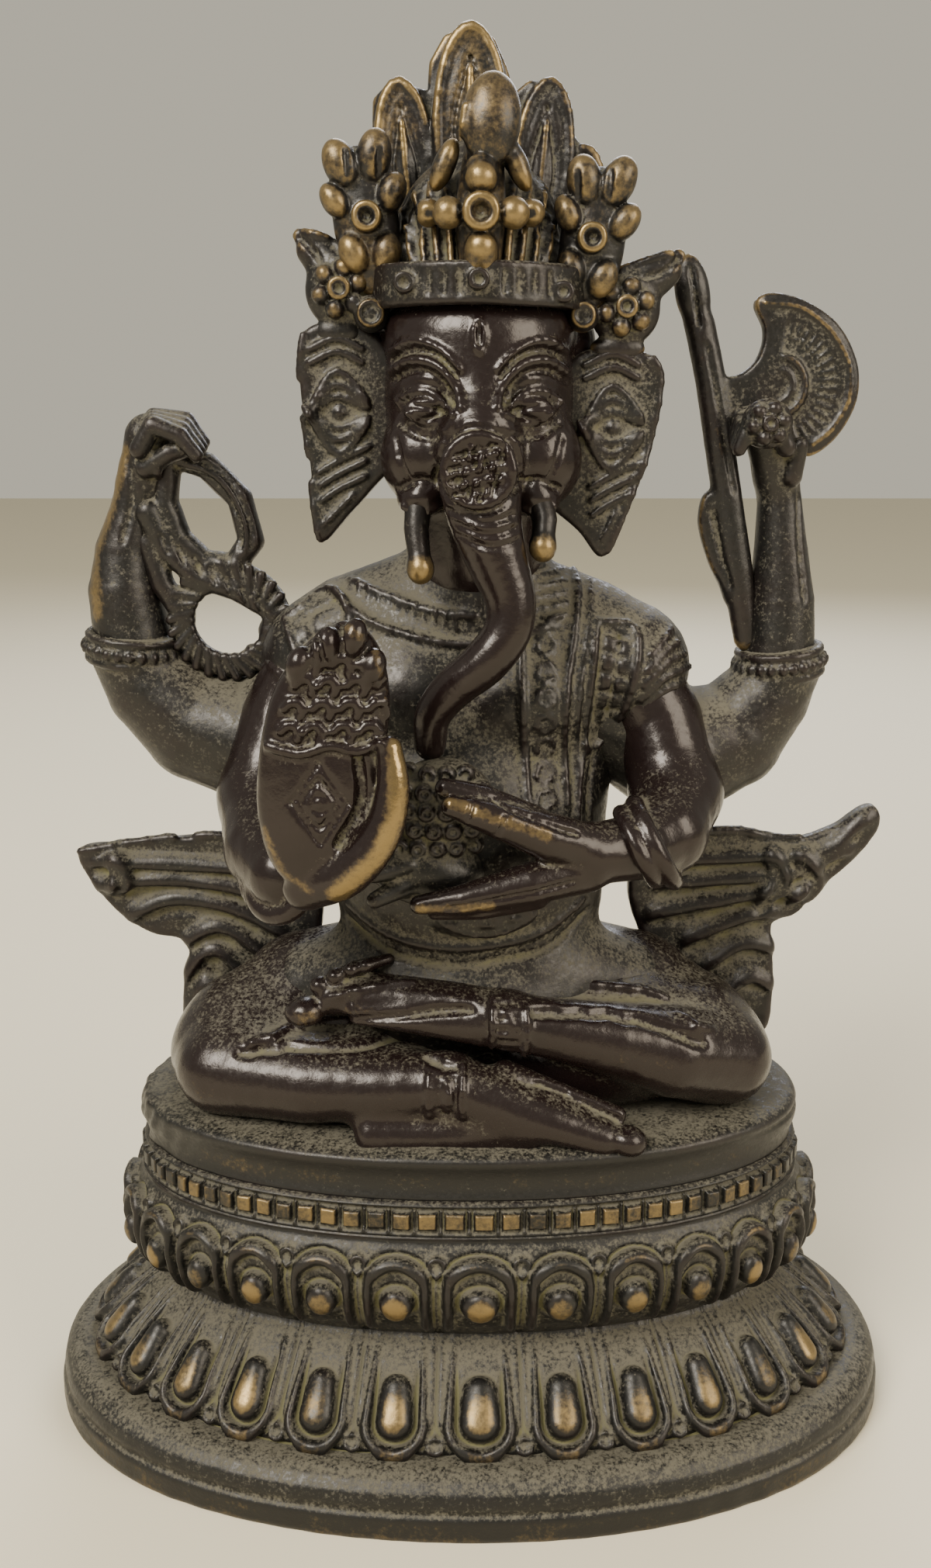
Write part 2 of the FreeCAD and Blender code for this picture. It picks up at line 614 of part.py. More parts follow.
# ---------------------------------------------------------------- finished pieces
doc.recompute()
piece(cut("seat_pad", pad_block, *tang_bores), "seat_pad")
right_leg = cut("right_leg", right_leg_block, below_seat, tang_bores[0])
piece(right_leg, "right_leg")
left_leg = cut("left_leg", left_leg_block, below_seat, right_leg_block, tang_bores[1])
piece(left_leg, "left_leg")
piece(cut("torso", torso_block, below_seat, right_leg_block, left_leg_block, *tang_bores,
          *(bores[name] for name in bores if name == "neck" or "shoulder" in name)), "torso")
piece(cut("head", head_block, torso_block, bores["neck"], bores["crown"]), "head")
piece(cut("band", band_outside, band_inside, head_block), "crown_band")
piece(cut("cap_piece", cap, head_block, fan_block, bores["crown"]), "crown_cap")
piece(fan_block, "crown_fan")
for label, block in plaque_blocks.items():
    piece(cut(label, block, head_block, band_outside, cap), label)
for side, label in ((-1, "right"), (1, "left")):
    piece(cut(label + "_ear", ear_blocks[side], head_block, torso_block), label + "_ear")
    piece(cut(label + "_tusk", tusk_blocks[side], head_block, torso_block), label + "_tusk")
    piece(cut(label + "_ear_rosette", rosette_blocks[label + "_ear_rosette"], head_block, band_outside,
              ear_blocks[side], plaque_blocks[label + "_plaque"]), label + "_ear_rosette")

front_blocks = {"right": front_right_block, "left": front_left_block}
for label in ("right", "left"):
    arm, forearm = rear_arm_blocks[label], rear_forearm_blocks[label]
    piece(cut(f"rear_{label}_arm", arm, torso_block, front_blocks[label], bores["rear_shoulder_" + label],
              bores["elbow_" + label]), f"rear_{label}_arm")
    piece(cut(f"rear_{label}_forearm", forearm, arm, bores["elbow_" + label]), f"rear_{label}_forearm")
    piece(cut(f"front_{label}_arm", front_blocks[label], torso_block, bores["front_shoulder_" + label]),
          f"front_{label}_arm")
piece(cut("noose", noose_block, rear_arm_blocks["right"], rear_forearm_blocks["right"], torso_block,
          front_right_block), "noose")
piece(cut("axe", axe_block, rear_arm_blocks["left"], rear_forearm_blocks["left"]), "axe")
piece(cut("front_right_hand", right_hand_block, front_right_block), "front_right_hand")
piece(cut("front_left_hand", left_hand_block, front_left_block), "front_left_hand")
piece(cut("sweets_bowl", bowl_base, left_hand_block, right_hand_block, trunk, front_left_block, torso_block),
      "sweets_bowl")
for side, label in ((-1, "right"), (1, "left")):
    piece(cut(label + "_scarf_end", scarf_blocks[side], left_leg_block, right_leg_block, torso_block,
              rear_arm_blocks[label]), label + "_scarf_end")
joining = doc.addObject("Part::Compound", "joining")
joining.Links = pins
piece(joining, "joining_pins")
tang_group = doc.addObject("Part::Compound", "tang_group")
tang_group.Links = tangs
piece(tang_group, "seat_tangs")
doc.recompute()

# ---------------------------------------------------------------- test and write
failed = [item.Label for item in doc.Objects if {"Invalid", "Error"} & set(item.State)]
if failed:
    raise RuntimeError("not recomputed: " + ", ".join(failed))
os.makedirs("parts", exist_ok=True)
for item in pieces:
    if item.Shape.isNull() or not item.Shape.isValid() or not item.Shape.Solids:
        raise RuntimeError("not a valid solid: " + item.Label)
    print(f"{item.Label:20s} solids {len(item.Shape.Solids)} volume {item.Shape.Volume:10.1f}")
    item.Shape.exportStep(f"parts/{item.Label}.step")
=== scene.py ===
"""A dark cast-bronze seated deity with an elephant's head on an oval double-lotus base."""
import math

import bpy
import numpy as np
from bpy.props import FloatProperty, FloatVectorProperty, IntProperty, PointerProperty
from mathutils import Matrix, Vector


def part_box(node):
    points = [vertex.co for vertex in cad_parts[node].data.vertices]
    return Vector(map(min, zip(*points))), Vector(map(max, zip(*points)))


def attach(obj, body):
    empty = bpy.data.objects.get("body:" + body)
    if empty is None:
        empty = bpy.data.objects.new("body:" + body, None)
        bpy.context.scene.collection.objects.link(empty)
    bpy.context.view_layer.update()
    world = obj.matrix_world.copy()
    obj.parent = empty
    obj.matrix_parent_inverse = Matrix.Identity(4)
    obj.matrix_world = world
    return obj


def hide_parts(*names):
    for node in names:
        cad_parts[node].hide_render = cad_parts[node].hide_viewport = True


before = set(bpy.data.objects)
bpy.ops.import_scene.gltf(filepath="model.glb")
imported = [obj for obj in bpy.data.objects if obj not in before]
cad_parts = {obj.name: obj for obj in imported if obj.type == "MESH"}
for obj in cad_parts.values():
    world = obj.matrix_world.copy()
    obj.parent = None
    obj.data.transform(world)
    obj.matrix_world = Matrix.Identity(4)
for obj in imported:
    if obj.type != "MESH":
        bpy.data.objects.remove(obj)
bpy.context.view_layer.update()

bl_info = {
    "name": "Seated bronze on a double lotus",
    "version": (1, 0, 0),
    "blender": (4, 5, 0),
    "location": "View3D > Sidebar > Bronze",
    "description": "Models the sculpted skin of a small cast-bronze figure around its measured frame",
    "category": "Add Mesh",
}

MM = 0.001
FAR = 4.0  # mm, the distance that an untouched block of clay holds
LONGEST_STEP = 2.5  # mm: a line drawn on the skin breaks off where the skin falls away by more


def corner(node, end, axis):
    """One coordinate of a frame part's box, in millimetres."""
    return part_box(node)[end][axis] / MM


FOOT_HALF_WIDTH = corner("foot_ring", 1, 0)
FOOT_HALF_DEPTH = corner("foot_ring", 1, 1)
FOOT_TOP = corner("foot_ring", 1, 2)
SEAT_TOP = corner("seat_pad", 1, 2)
DRAWN_SEAT = 34.5  # mm; every height on the figure below is drawn for a seat at this level
LIFT = SEAT_TOP - DRAWN_SEAT


# ---------------------------------------------------------------- small helpers
def srgb(text):
    """A colour written as six hex digits, turned to linear light."""
    parts = [int(text[i:i + 2], 16) / 255 for i in (0, 2, 4)]
    return tuple(c / 12.92 if c <= 0.04045 else ((c + 0.055) / 1.055) ** 2.4 for c in parts) + (1.0,)


def bump(distance, width):
    """A smooth hill one high: the bell curve of distance over width."""
    return np.exp(-(distance / width) ** 2)


def ramp(value, low, high):
    """Nought below low and one above high, with an eased rise between them."""
    share = np.clip((value - low) / (high - low), 0, 1)
    return share * share * (3 - 2 * share)


def capsule(across, along, start, end, radius):
    """Signed distance to a flat round-ended bar that runs along the petal's middle line."""
    return np.hypot(across, along - np.clip(along, start, end)) - radius


def dome(distance, radius):
    """A round button: the height share of a circle arc over its own radius."""
    return np.sqrt(np.clip(1 - np.clip((distance + radius) / radius, 0, 1) ** 2, 0, 1))


def waves(points, lengths, seed):
    """Smooth, seeded unevenness: a sum of sine waves in drawn directions, about one high."""
    draw = np.random.default_rng(seed)
    total = 0
    for length in lengths:
        for _ in range(4):
            way = draw.normal(size=3)
            way *= 2 * math.pi / (length * np.linalg.norm(way))
            total = total + np.sin(points @ way + draw.uniform(0, 6.28)) / 4
    return total / len(lengths)


# ---------------------------------------------------------------- meshes
def point_normals(points, faces):
    """The mean direction of the faces round each point, by their areas."""
    across = points[faces[:, 2]] - points[faces[:, 0]]
    other = points[faces[:, 3]] - points[faces[:, 1]]
    normal = np.cross(across, other)
    total = np.zeros_like(points)
    for corner_number in range(4):
        for axis in range(3):
            total[:, axis] += np.bincount(faces[:, corner_number], normal[:, axis], len(points))
    return total / np.maximum(np.linalg.norm(total, axis=1), 1e-9)[:, None]


def relief(points, faces, rounds):
    """How far each point stands proud of the skin after it is evened out that many times, in mm."""
    normals = point_normals(points, faces)
    starts = faces.ravel()
    ends = np.roll(faces, -1, axis=1).ravel()
    count = np.bincount(np.concatenate([starts, ends]), minlength=len(points))
    even = points.copy()
    for _ in range(rounds):
        moved = np.empty_like(even)
        for axis in range(3):
            moved[:, axis] = (np.bincount(starts, even[ends, axis], len(points))
                              + np.bincount(ends, even[starts, axis], len(points))) / count
        even = moved
    return ((points - even) * normals).sum(axis=1)


def make_piece(name, points, faces, bare, material, fine=6, broad=40):
    """A mesh in mm made an object that stands for the frame part of its name.

    Three values go with each point: edge, how proud it stands of the detail round it, and
    broad, how proud of the wider form, both in tenths of a millimetre; and bare, 0 to 1, how
    far handling has worn the patina off there, though on the seat pad's front band it carries
    painted shade instead. A face that names its last point twice is a triangle.
    """
    values = {"edge": relief(points, faces, fine) * 10, "broad": relief(points, faces, broad) * 10,
              "bare": bare}
    mesh = bpy.data.meshes.new(name)
    triangle = faces[:, 2] == faces[:, 3]
    sides = faces[~triangle].tolist() + faces[triangle, :3].tolist()
    mesh.from_pydata((points * MM).tolist(), [], sides)
    mesh.polygons.foreach_set("use_smooth", np.ones(len(mesh.polygons), bool))
    for label, amounts in values.items():
        layer = mesh.attributes.new(label, "FLOAT", "POINT")
        layer.data.foreach_set("value", amounts.astype(np.float32))
    mesh.materials.append(material)
    mesh.update()
    piece = bpy.data.objects.new(name, mesh)
    bpy.context.collection.objects.link(piece)
    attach(piece, "root")
    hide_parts(name)


# ---------------------------------------------------------------- oval rings of the base
PLAN_INSET = 11.6  # mm from the foot's edge to the line that the base's rings are measured out from
PLAN_SQUARENESS = 2.15  # of that line: 2 is an ellipse, more is squarer
ANGLE_SHARE = 0.8  # of the petals' spacing that goes by angle; the rest goes by length
PLAN_STEPS = 7201  # points that the plan line is measured through, far finer than any ring
PLAN_EASING = 12  # rounds of averaging that even out the way off the plan line
FIRST_PETAL = 0.12  # of a petal: how far round from the front the first one lies
PETAL_PITCH = 7.2  # mm, the width that a petal is drawn for, at the front


def plan_line(count):
    """Points along the base's plan line from the front centre, and the way out at each.

    The line is a superellipse. Its steps are even mostly in the angle that draws it, and for the
    rest in length, so that what repeats is widest at the front, as on the cast.
    """
    angle = np.linspace(-math.pi / 2, 1.5 * math.pi, PLAN_STEPS)
    across, deep = np.cos(angle), np.sin(angle)
    power = 2 / PLAN_SQUARENESS
    line = np.stack([np.sign(across) * np.abs(across) ** power * (FOOT_HALF_WIDTH - PLAN_INSET),
                     np.sign(deep) * np.abs(deep) ** power * (FOOT_HALF_DEPTH - PLAN_INSET)], axis=1)
    length = np.concatenate([[0], np.cumsum(np.linalg.norm(np.diff(line, axis=0), axis=1))])
    weight = ANGLE_SHARE * np.linspace(0, 1, len(length)) + (1 - ANGLE_SHARE) * length / length[-1]
    spots = np.stack([np.interp(np.arange(count) / count, weight, line[:, axis]) for axis in (0, 1)], axis=1)
    way = np.roll(spots, -1, axis=0) - np.roll(spots, 1, axis=0)
    out = np.stack([way[:, 1], -way[:, 0]], axis=1)
    for _ in range(PLAN_EASING):
        out = (np.roll(out, 1, axis=0) + out + np.roll(out, -1, axis=0)) / 3
    return spots, out / np.linalg.norm(out, axis=1)[:, None]


def smooth_profile(corners, rows):
    """An open profile of (out, up) drawn through its corners at even steps, with the way off it."""
    corners = np.array(corners, float)
    length = np.concatenate([[0], np.cumsum(np.linalg.norm(np.diff(corners, axis=0), axis=1))])
    along = np.linspace(0, length[-1], rows)
    line = np.stack([np.interp(along, length, corners[:, axis]) for axis in (0, 1)], axis=1)
    for _ in range(max(2, rows // 24)):
        line[1:-1] = (line[:-2] + 2 * line[1:-1] + line[2:]) / 4
    way = np.gradient(line, axis=0)
    off = np.stack([way[:, 1], -way[:, 0]], axis=1)
    return along, line, off / np.linalg.norm(off, axis=1)[:, None]


def ring_skin(profile, rows, columns, raise_by, wall, roughness, seed):
    """A closed ring: a profile carried round the plan line, with a relief stood on its outer face.

    Each outer point is the plan point, plus the way out times the profile's out value, plus the
    relief along the profile's own normal. A plain inner face closes the ring behind it. The
    relief comes with the share of the patina that is worn off at each point.
    """
    spots, out = plan_line(columns)
    along, line, off = smooth_profile(profile, rows)
    share = np.arange(columns) / columns
    height, bare = raise_by(along[None, :], share[:, None], line)
    reach = line[None, :, 0] + height * off[None, :, 0]
    level = line[None, :, 1] + height * off[None, :, 1]
    inner = line[::-1, 0][::max(1, rows // 6)] - wall
    inner_up = line[::-1, 1][::max(1, rows // 6)]
    reach = np.concatenate([reach, np.broadcast_to(inner, (columns, len(inner)))], axis=1)
    level = np.concatenate([level, np.broadcast_to(inner_up, (columns, len(inner)))], axis=1)
    points = np.stack([spots[:, 0, None] + out[:, 0, None] * reach,
                       spots[:, 1, None] + out[:, 1, None] * reach, level], axis=2)
    bare = np.concatenate([bare + 0 * height, np.zeros((columns, len(inner)))], axis=1)
    faces = grid_faces(columns, points.shape[1], True)
    points = points.reshape(-1, 3)
    outward = np.repeat(np.column_stack([out, np.zeros(columns)]), len(points) // columns, axis=0)
    return points + (waves(points, (9, 3.1), seed) * roughness)[:, None] * outward, faces, bare.ravel()


def grid_faces(columns, rows, wrap_rows):
    """Quads over a grid of points, stored column by column, whose last column meets its first."""
    second = np.arange(rows if wrap_rows else rows - 1)
    i, j = (part.ravel() for part in np.meshgrid(np.arange(columns), second, indexing="ij"))
    i_next, j_next = (i + 1) % columns, (j + 1) % rows
    return np.stack([i * rows + j, i_next * rows + j, i_next * rows + j_next, i * rows + j_next], axis=1)


# ---------------------------------------------------------------- clay
class Clay:
    """A block of evenly spaced points that holds the distance to a modelled skin.

    Distances are in mm, below 0 inside. Shapes are joined to it or carved from it with a soft
    seam, each only where it reaches, and the skin is taken off at the end.
    """

    def __init__(self, low, high, step):
        self.low = np.array(low, float)
        self.step = step
        count = np.ceil((np.array(high, float) - self.low) / step).astype(int) + 1
        self.field = np.full(count, FAR, np.float32)
        self.rubs = []

    def window(self, low, high):
        """The slices of the block between two corners, and the coordinates of their points."""
        first = np.maximum(((np.array(low) - self.low) / self.step).astype(int), 0)
        last = np.minimum(((np.array(high) - self.low) / self.step).astype(int) + 2, self.field.shape)
        if (last <= first).any():
            return None, None
        axes = [(self.low[axis] + self.step * np.arange(first[axis], last[axis])).astype(np.float32)
                for axis in range(3)]
        slices = tuple(slice(a, b) for a, b in zip(first, last))
        return slices, np.meshgrid(*axes, indexing="ij", sparse=True)

    def blend(self, shape, soft, sign):
        """Add a shape where sign is 1, or take it away where it is -1, with a fillet that size.

        The two distances are mixed by a share that rises across the fillet, less a term that
        rounds the seam.
        """
        distance, low, high = shape
        reach = soft + 1.0
        slices, spots = self.window(np.array(low) - reach, np.array(high) + reach)
        if slices is None:
            return
        new, old = sign * distance(*spots), self.field[slices]
        share = np.clip(0.5 + 0.5 * sign * (old - new) / soft, 0, 1)
        self.field[slices] = old + (new - old) * share - sign * soft * share * (1 - share)

    def join(self, shape, soft=0.6):
        """Add a shape, a (distance function, low corner, high corner)."""
        self.blend(shape, soft, 1)

    def carve(self, shape, soft=0.3):
        """Take a shape away."""
        self.blend(shape, soft, -1)

    def meet(self, points, axis=1, sign=1):
        """Where lines along an axis first meet the skin, for points given in the other two axes."""
        others = [other for other in range(3) if other != axis]
        spots = [(points[:, n] - self.low[other]) / self.step for n, other in enumerate(others)]
        limits = [self.field.shape[other] - 1 for other in others]
        inside = (spots[0] >= 0) & (spots[0] < limits[0]) & (spots[1] >= 0) & (spots[1] < limits[1])
        index = [np.clip(np.round(spot).astype(int), 0, limit) for spot, limit in zip(spots, limits)]
        rows = np.moveaxis(self.field, axis, -1)[index[0], index[1]]
        if sign < 0:
            rows = rows[:, ::-1]
        solid = rows < 0
        first = solid.argmax(axis=1)
        hit = solid.any(axis=1) & inside & (first > 0)
        before = rows[np.arange(len(rows)), np.maximum(first - 1, 0)]
        after = rows[np.arange(len(rows)), first]
        place = first - after / np.minimum(after - before, -1e-6)
        if sign < 0:
            place = rows.shape[1] - 1 - place
        full = np.zeros((len(points), 3))
        full[:, others[0]], full[:, others[1]] = points[:, 0], points[:, 1]
        full[:, axis] = self.low[axis] + place * self.step
        return full[hit]

    def draw(self, line, width, height, axis=1, sign=1, closed=False, soft=0.25):
        """Draw a line on the skin as seen along an axis: a ridge where height is above 0, else a groove.

        The line is smoothed through its points, laid on the skin, and a round rod of that half
        width is sunk into it or carved from it.
        """
        path = smooth_line(line, closed, self.step * 1.5)
        on_skin = self.meet(path, axis, sign)
        if len(on_skin) < 2:
            return
        gap = np.linalg.norm(np.diff(on_skin, axis=0), axis=1)
        shift = np.zeros(3)
        shift[axis] = sign
        rods = on_skin + shift * ((width - height) if height > 0 else -(width + height))
        for start, end, step in zip(rods[:-1:2], rods[2::2], gap[:-1:2] + gap[1::2]):
            if step <= LONGEST_STEP:
                self.blend(rod([start, end], [width, width]), soft, 1 if height > 0 else -1)

    def dot(self, spot, radius, height, axis=1, sign=1, soft=0.2):
        """A round button on the skin, or a dimple where height is below 0."""
        place = self.meet(np.array([spot], float), axis, sign)
        if not len(place):
            return
        shift = np.zeros(3)
        shift[axis] = sign
        way = 1 if height > 0 else -1
        self.blend(egg(place[0] + shift * (way * radius - height), [radius] * 3), soft, way)

    def rub(self, line, radius, amount=1.0):
        """Wear the patina off along a line of (across, up), on whatever faces the front there."""
        self.rubs.append((line, radius, amount))

    def skin(self):
        """Quads over the zero level: one point in each cell that the skin crosses, at the mean crossing."""
        field = self.field
        solid = field < 0
        shape = np.array(field.shape) - 1
        count = sum(solid[a:a + shape[0], b:b + shape[1], c:c + shape[2]].astype(np.int8)
                    for a in (0, 1) for b in (0, 1) for c in (0, 1))
        cells = (count > 0) & (count < 8)
        where = np.argwhere(cells)
        number = np.full(tuple(shape), -1, np.int64)
        number[cells] = np.arange(len(where))
        total = np.zeros((len(where), 3))
        crossings = np.zeros(len(where))
        for axis in range(3):
            step = np.eye(3, dtype=int)[axis]
            others = [other for other in range(3) if other != axis]
            for side_a in (0, 1):
                for side_b in (0, 1):
                    start = np.zeros(3, int)
                    start[others[0]], start[others[1]] = side_a, side_b
                    low = field[tuple((where + start).T)]
                    high = field[tuple((where + start + step).T)]
                    crossed = (low < 0) != (high < 0)
                    share = low[crossed] / (low[crossed] - high[crossed])
                    total[crossed] += start + share[:, None] * step
                    crossings += crossed
        points = self.low + self.step * (where + total / crossings[:, None])
        faces = []
        for axis in range(3):
            second, third = (axis + 1) % 3, (axis + 2) % 3
            ahead = np.moveaxis(solid, axis, 0)
            changed = np.moveaxis(ahead[:-1] != ahead[1:], 0, axis)
            edges = np.argwhere(changed)
            edges = edges[(edges[:, second] > 0) & (edges[:, third] > 0)
                          & (edges[:, second] < shape[second]) & (edges[:, third] < shape[third])]
            around = []
            for back_second, back_third in ((1, 1), (0, 1), (0, 0), (1, 0)):
                cell = edges.copy()
                cell[:, second] -= back_second
                cell[:, third] -= back_third
                around.append(number[tuple(cell.T)])
            quads = np.stack(around, axis=1)
            inward = ~solid[tuple(edges.T)]
            quads[inward] = quads[inward][:, ::-1]
            faces.append(quads)
        return points, np.concatenate(faces)


def smooth_line(line, closed, gap):
    """A line of points a small gap apart, drawn through the given ones as a rounded curve."""
    line = np.array(line, float)
    if len(line) > 2:
        if closed:
            line = np.concatenate([line[-1:], line, line[:2]])
        else:
            line = np.concatenate([2 * line[:1] - line[1:2], line, 2 * line[-1:] - line[-2:-1]])
        before, start, end, after = line[:-3], line[1:-2], line[2:-1], line[3:]
        share = np.linspace(0, 1, 9)[None, :-1, None]
        before, start, end, after = (part[:, None] for part in (before, start, end, after))
        curve = 0.5 * (2 * start + (end - before) * share + (2 * before - 5 * start + 4 * end - after)
                       * share ** 2 + (3 * start - before - 3 * end + after) * share ** 3)
        line = np.concatenate([curve.reshape(-1, line.shape[1]), line[-2:-1]])
    length = np.concatenate([[0], np.cumsum(np.linalg.norm(np.diff(line, axis=0), axis=1))])
    count = max(3, int(length[-1] / gap) + 1)
    along = np.linspace(0, length[-1], count)
    return np.stack([np.interp(along, length, line[:, axis]) for axis in range(line.shape[1])], axis=1)


def turn_by(about_x=0, about_y=0, about_z=0):
    """A turn about Z, then Y, then X, in degrees, as a matrix."""
    a, b, c = (math.radians(angle) for angle in (about_x, about_y, about_z))
    turn_x = np.array([[1, 0, 0], [0, math.cos(a), -math.sin(a)], [0, math.sin(a), math.cos(a)]])
    turn_y = np.array([[math.cos(b), 0, math.sin(b)], [0, 1, 0], [-math.sin(b), 0, math.cos(b)]])
    turn_z = np.array([[math.cos(c), -math.sin(c), 0], [math.sin(c), math.cos(c), 0], [0, 0, 1]])
    return turn_x @ turn_y @ turn_z


def local(centre, turn):
    """A function that takes world coordinates to a turned shape's own."""
    centre = np.array(centre, float)
    if turn is None:
        return lambda x, y, z: (x - centre[0], y - centre[1], z - centre[2])
    rows = turn.T

    def change(x, y, z):
        x, y, z = x - centre[0], y - centre[1], z - centre[2]
        return tuple(row[0] * x + row[1] * y + row[2] * z for row in rows)
    return change


def egg(centre, radii, turn=None):
    """An ellipsoid: the scaled radius, less one, over its own slope."""
    change = local(centre, turn)
    a, b, c = (max(radius, 0.05) for radius in radii)

    def distance(x, y, z):
        x, y, z = change(x, y, z)
        scaled = np.sqrt((x / a) ** 2 + (y / b) ** 2 + (z / c) ** 2)
        slope = np.sqrt((x / a ** 2) ** 2 + (y / b ** 2) ** 2 + (z / c ** 2) ** 2)
        return scaled * (scaled - 1) / np.maximum(slope, 1e-6)
    size = np.full(3, max(radii)) if turn is not None else np.array(radii)
    return distance, np.array(centre) - size, np.array(centre) + size


def block(centre, halves, rounding=0.3, turn=None):
    """A box with rounded edges."""
    change = local(centre, turn)
    halves = np.array(halves, float)
    core = halves - rounding

    def distance(x, y, z):
        x, y, z = change(x, y, z)
        past = [np.abs(part) - half for part, half in zip((x, y, z), core)]
        outside = np.sqrt(sum(np.maximum(part, 0) ** 2 for part in past))
        return outside + np.minimum(np.maximum(np.maximum(past[0], past[1]), past[2]), 0) - rounding
    size = np.full(3, np.linalg.norm(halves)) if turn is not None else halves
    return distance, np.array(centre) - size, np.array(centre) + size


def bend(points, radii):
    """The points and radii of a run with three more between each pair, on a smooth curve.

    Between two points the curve is the cubic that passes through both, with the run's own slope
    at each.
    """
    known = np.column_stack([np.array(points, float), radii])
    slope = np.gradient(known, axis=0)
    spot = np.linspace(0, len(known) - 1, 4 * (len(known) - 1) + 1)
    first = np.minimum(spot.astype(int), len(known) - 2)
    t = (spot - first)[:, None]
    curve = ((2 * t ** 3 - 3 * t ** 2 + 1) * known[first] + (t ** 3 - 2 * t ** 2 + t) * slope[first]
             + (3 * t ** 2 - 2 * t ** 3) * known[first + 1] + (t ** 3 - t ** 2) * slope[first + 1])
    return curve[:, :3], curve[:, 3]


def rod(points, radii, squash=(1, 1, 1)):
    """A chain of tapered round-ended runs: the least distance to any run, less its radius there.

    Squash scales each axis before the distance is taken, to flatten a limb.
    """
    points = [np.array(point, float) for point in points]
    scale = np.array(squash, float)

    def distance(x, y, z):
        best = None
        for start, end, first, last in zip(points, points[1:], radii, radii[1:]):
            run = (end - start) * scale
            px, py, pz = ((part - at) * by for part, at, by in zip((x, y, z), start, scale))
            share = np.clip((px * run[0] + py * run[1] + pz * run[2]) / max(run @ run, 1e-9), 0, 1)
            gap = np.sqrt((px - share * run[0]) ** 2 + (py - share * run[1]) ** 2
                          + (pz - share * run[2]) ** 2)
            gap = gap - (first + (last - first) * share)
            best = gap if best is None else np.minimum(best, gap)
        return best / scale.max()
    reach = max(radii) / scale.min()
    return distance, np.min(points, axis=0) - reach, np.max(points, axis=0) + reach


def hoop(centre, radius, tube, turn=None):
    """A ring of round wire, flat in its own XY plane."""
    change = local(centre, turn)

    def distance(x, y, z):
        x, y, z = change(x, y, z)
        return np.sqrt((np.sqrt(x ** 2 + y ** 2) - radius) ** 2 + z ** 2) - tube
    size = np.full(3, radius + tube)
    return distance, np.array(centre) - size, np.array(centre) + size


def slab(outline, front, back, rounding=0.4, closed_curve=True):
    """A flat casting: a rounded outline in the XZ plane, from one depth to another, its edges eased.

    The distance to the outline's nearest side, signed by an even-odd count of the sides crossed,
    is joined with the distance to the two faces.
    """
    path = smooth_line(outline, True, 0.5)[:-1] if closed_curve else np.array(outline, float)
    start, end = path, np.roll(path, -1, axis=0)

    def distance(x, y, z):
        across, up = np.broadcast_arrays(x[:, 0, :], z[:, 0, :])
        best = np.full(across.shape, 1e9)
        inside = np.zeros(across.shape, bool)
        for (x0, z0), (x1, z1) in zip(start, end):
            run_x, run_z = x1 - x0, z1 - z0
            share = np.clip(((across - x0) * run_x + (up - z0) * run_z) / max(run_x ** 2 + run_z ** 2, 1e-9),
                            0, 1)
            best = np.minimum(best, (across - x0 - share * run_x) ** 2 + (up - z0 - share * run_z) ** 2)
            crossed = (z0 > up) != (z1 > up)
            inside ^= crossed & (across < run_x * (up - z0) / (run_z if abs(run_z) > 1e-9 else 1e-9) + x0)
        flat = np.where(inside, -1, 1) * np.sqrt(best) + rounding
        deep = np.abs(y - (front + back) / 2) - (back - front) / 2 + rounding
        flat = flat[:, None, :]
        return (np.sqrt(np.maximum(flat, 0) ** 2 + np.maximum(deep, 0) ** 2)
                + np.minimum(np.maximum(flat, deep), 0) - rounding)
    low = (path[:, 0].min(), front, path[:, 1].min())
    high = (path[:, 0].max(), back, path[:, 1].max())
    return distance, np.array(low), np.array(high)


CIRCLE = np.linspace(0, 2 * math.pi, 14)  # angles once round, in radians


def arc(across, up, wide, tall, angles):
    """Points (across, up) of an ellipse with those half sizes, at the given angles."""
    return [(across + wide * math.cos(a), up + tall * math.sin(a)) for a in angles]


def bowed(start, end, rise):
    """A line from start to end that bows up by a rise in its middle."""
    return [start, ((start[0] + end[0]) / 2, (start[1] + end[1]) / 2 + rise), end]


def model(name, clay, material, roughness, seed):
    """Take the skin off a block of clay, lift it to the frame's seat, and make it a piece."""
    points, faces = clay.skin()
    normals = point_normals(points, faces)
    bare = np.zeros(len(points))
    for line, radius, amount in clay.rubs:
        away = rod([(x, 0, z) for x, z in line], [0.0] * len(line))[0]
        near = away(points[:, 0], 0 * bare, points[:, 2])
        bare = np.maximum(bare, amount * ramp(radius - near, 0, radius) * ramp(-normals[:, 1], -0.1, 0.4))
    points = points + waves(points, (5.5, 1.7), seed)[:, None] * normals * roughness
    points[:, 2] += LIFT
    make_piece(name, points, faces, bare, material)


# ---------------------------------------------------------------- sizes and colours
class BronzeBase(bpy.types.PropertyGroup):
    """The oval base's own numbers."""
    petals: IntProperty(name="Petals", description="Lotus petals round each ring", default=28, min=8)
    beads: IntProperty(name="Beads", description="Beads round the rim under the seat", default=84, min=20)
    petal_rise: FloatProperty(name="Petal rise", description="How far a petal's boss stands proud, in mm",
                              default=1.15, min=0.1)


def colour_property(name, words, text):
    """A colour that the panel can change, given as six hex digits."""
    return FloatVectorProperty(name=name, description=words, size=3, subtype="COLOR", default=srgb(text)[:3])


class BronzeFinish(bpy.types.PropertyGroup):
    """The patina's colours."""
    patina: colour_property("Patina", "Dark chemical patina", "151515")
    rubbed: colour_property("Rubbed bronze", "Where hands have polished it", "1c1414")
    bare: colour_property("Bare bronze", "Metal worn through on the high places", "857351")
    dust: colour_property("Dust", "Old dust in the hollows", "59564b")
    green: colour_property("Verdigris", "Green corrosion in the deepest grooves", "64623f")


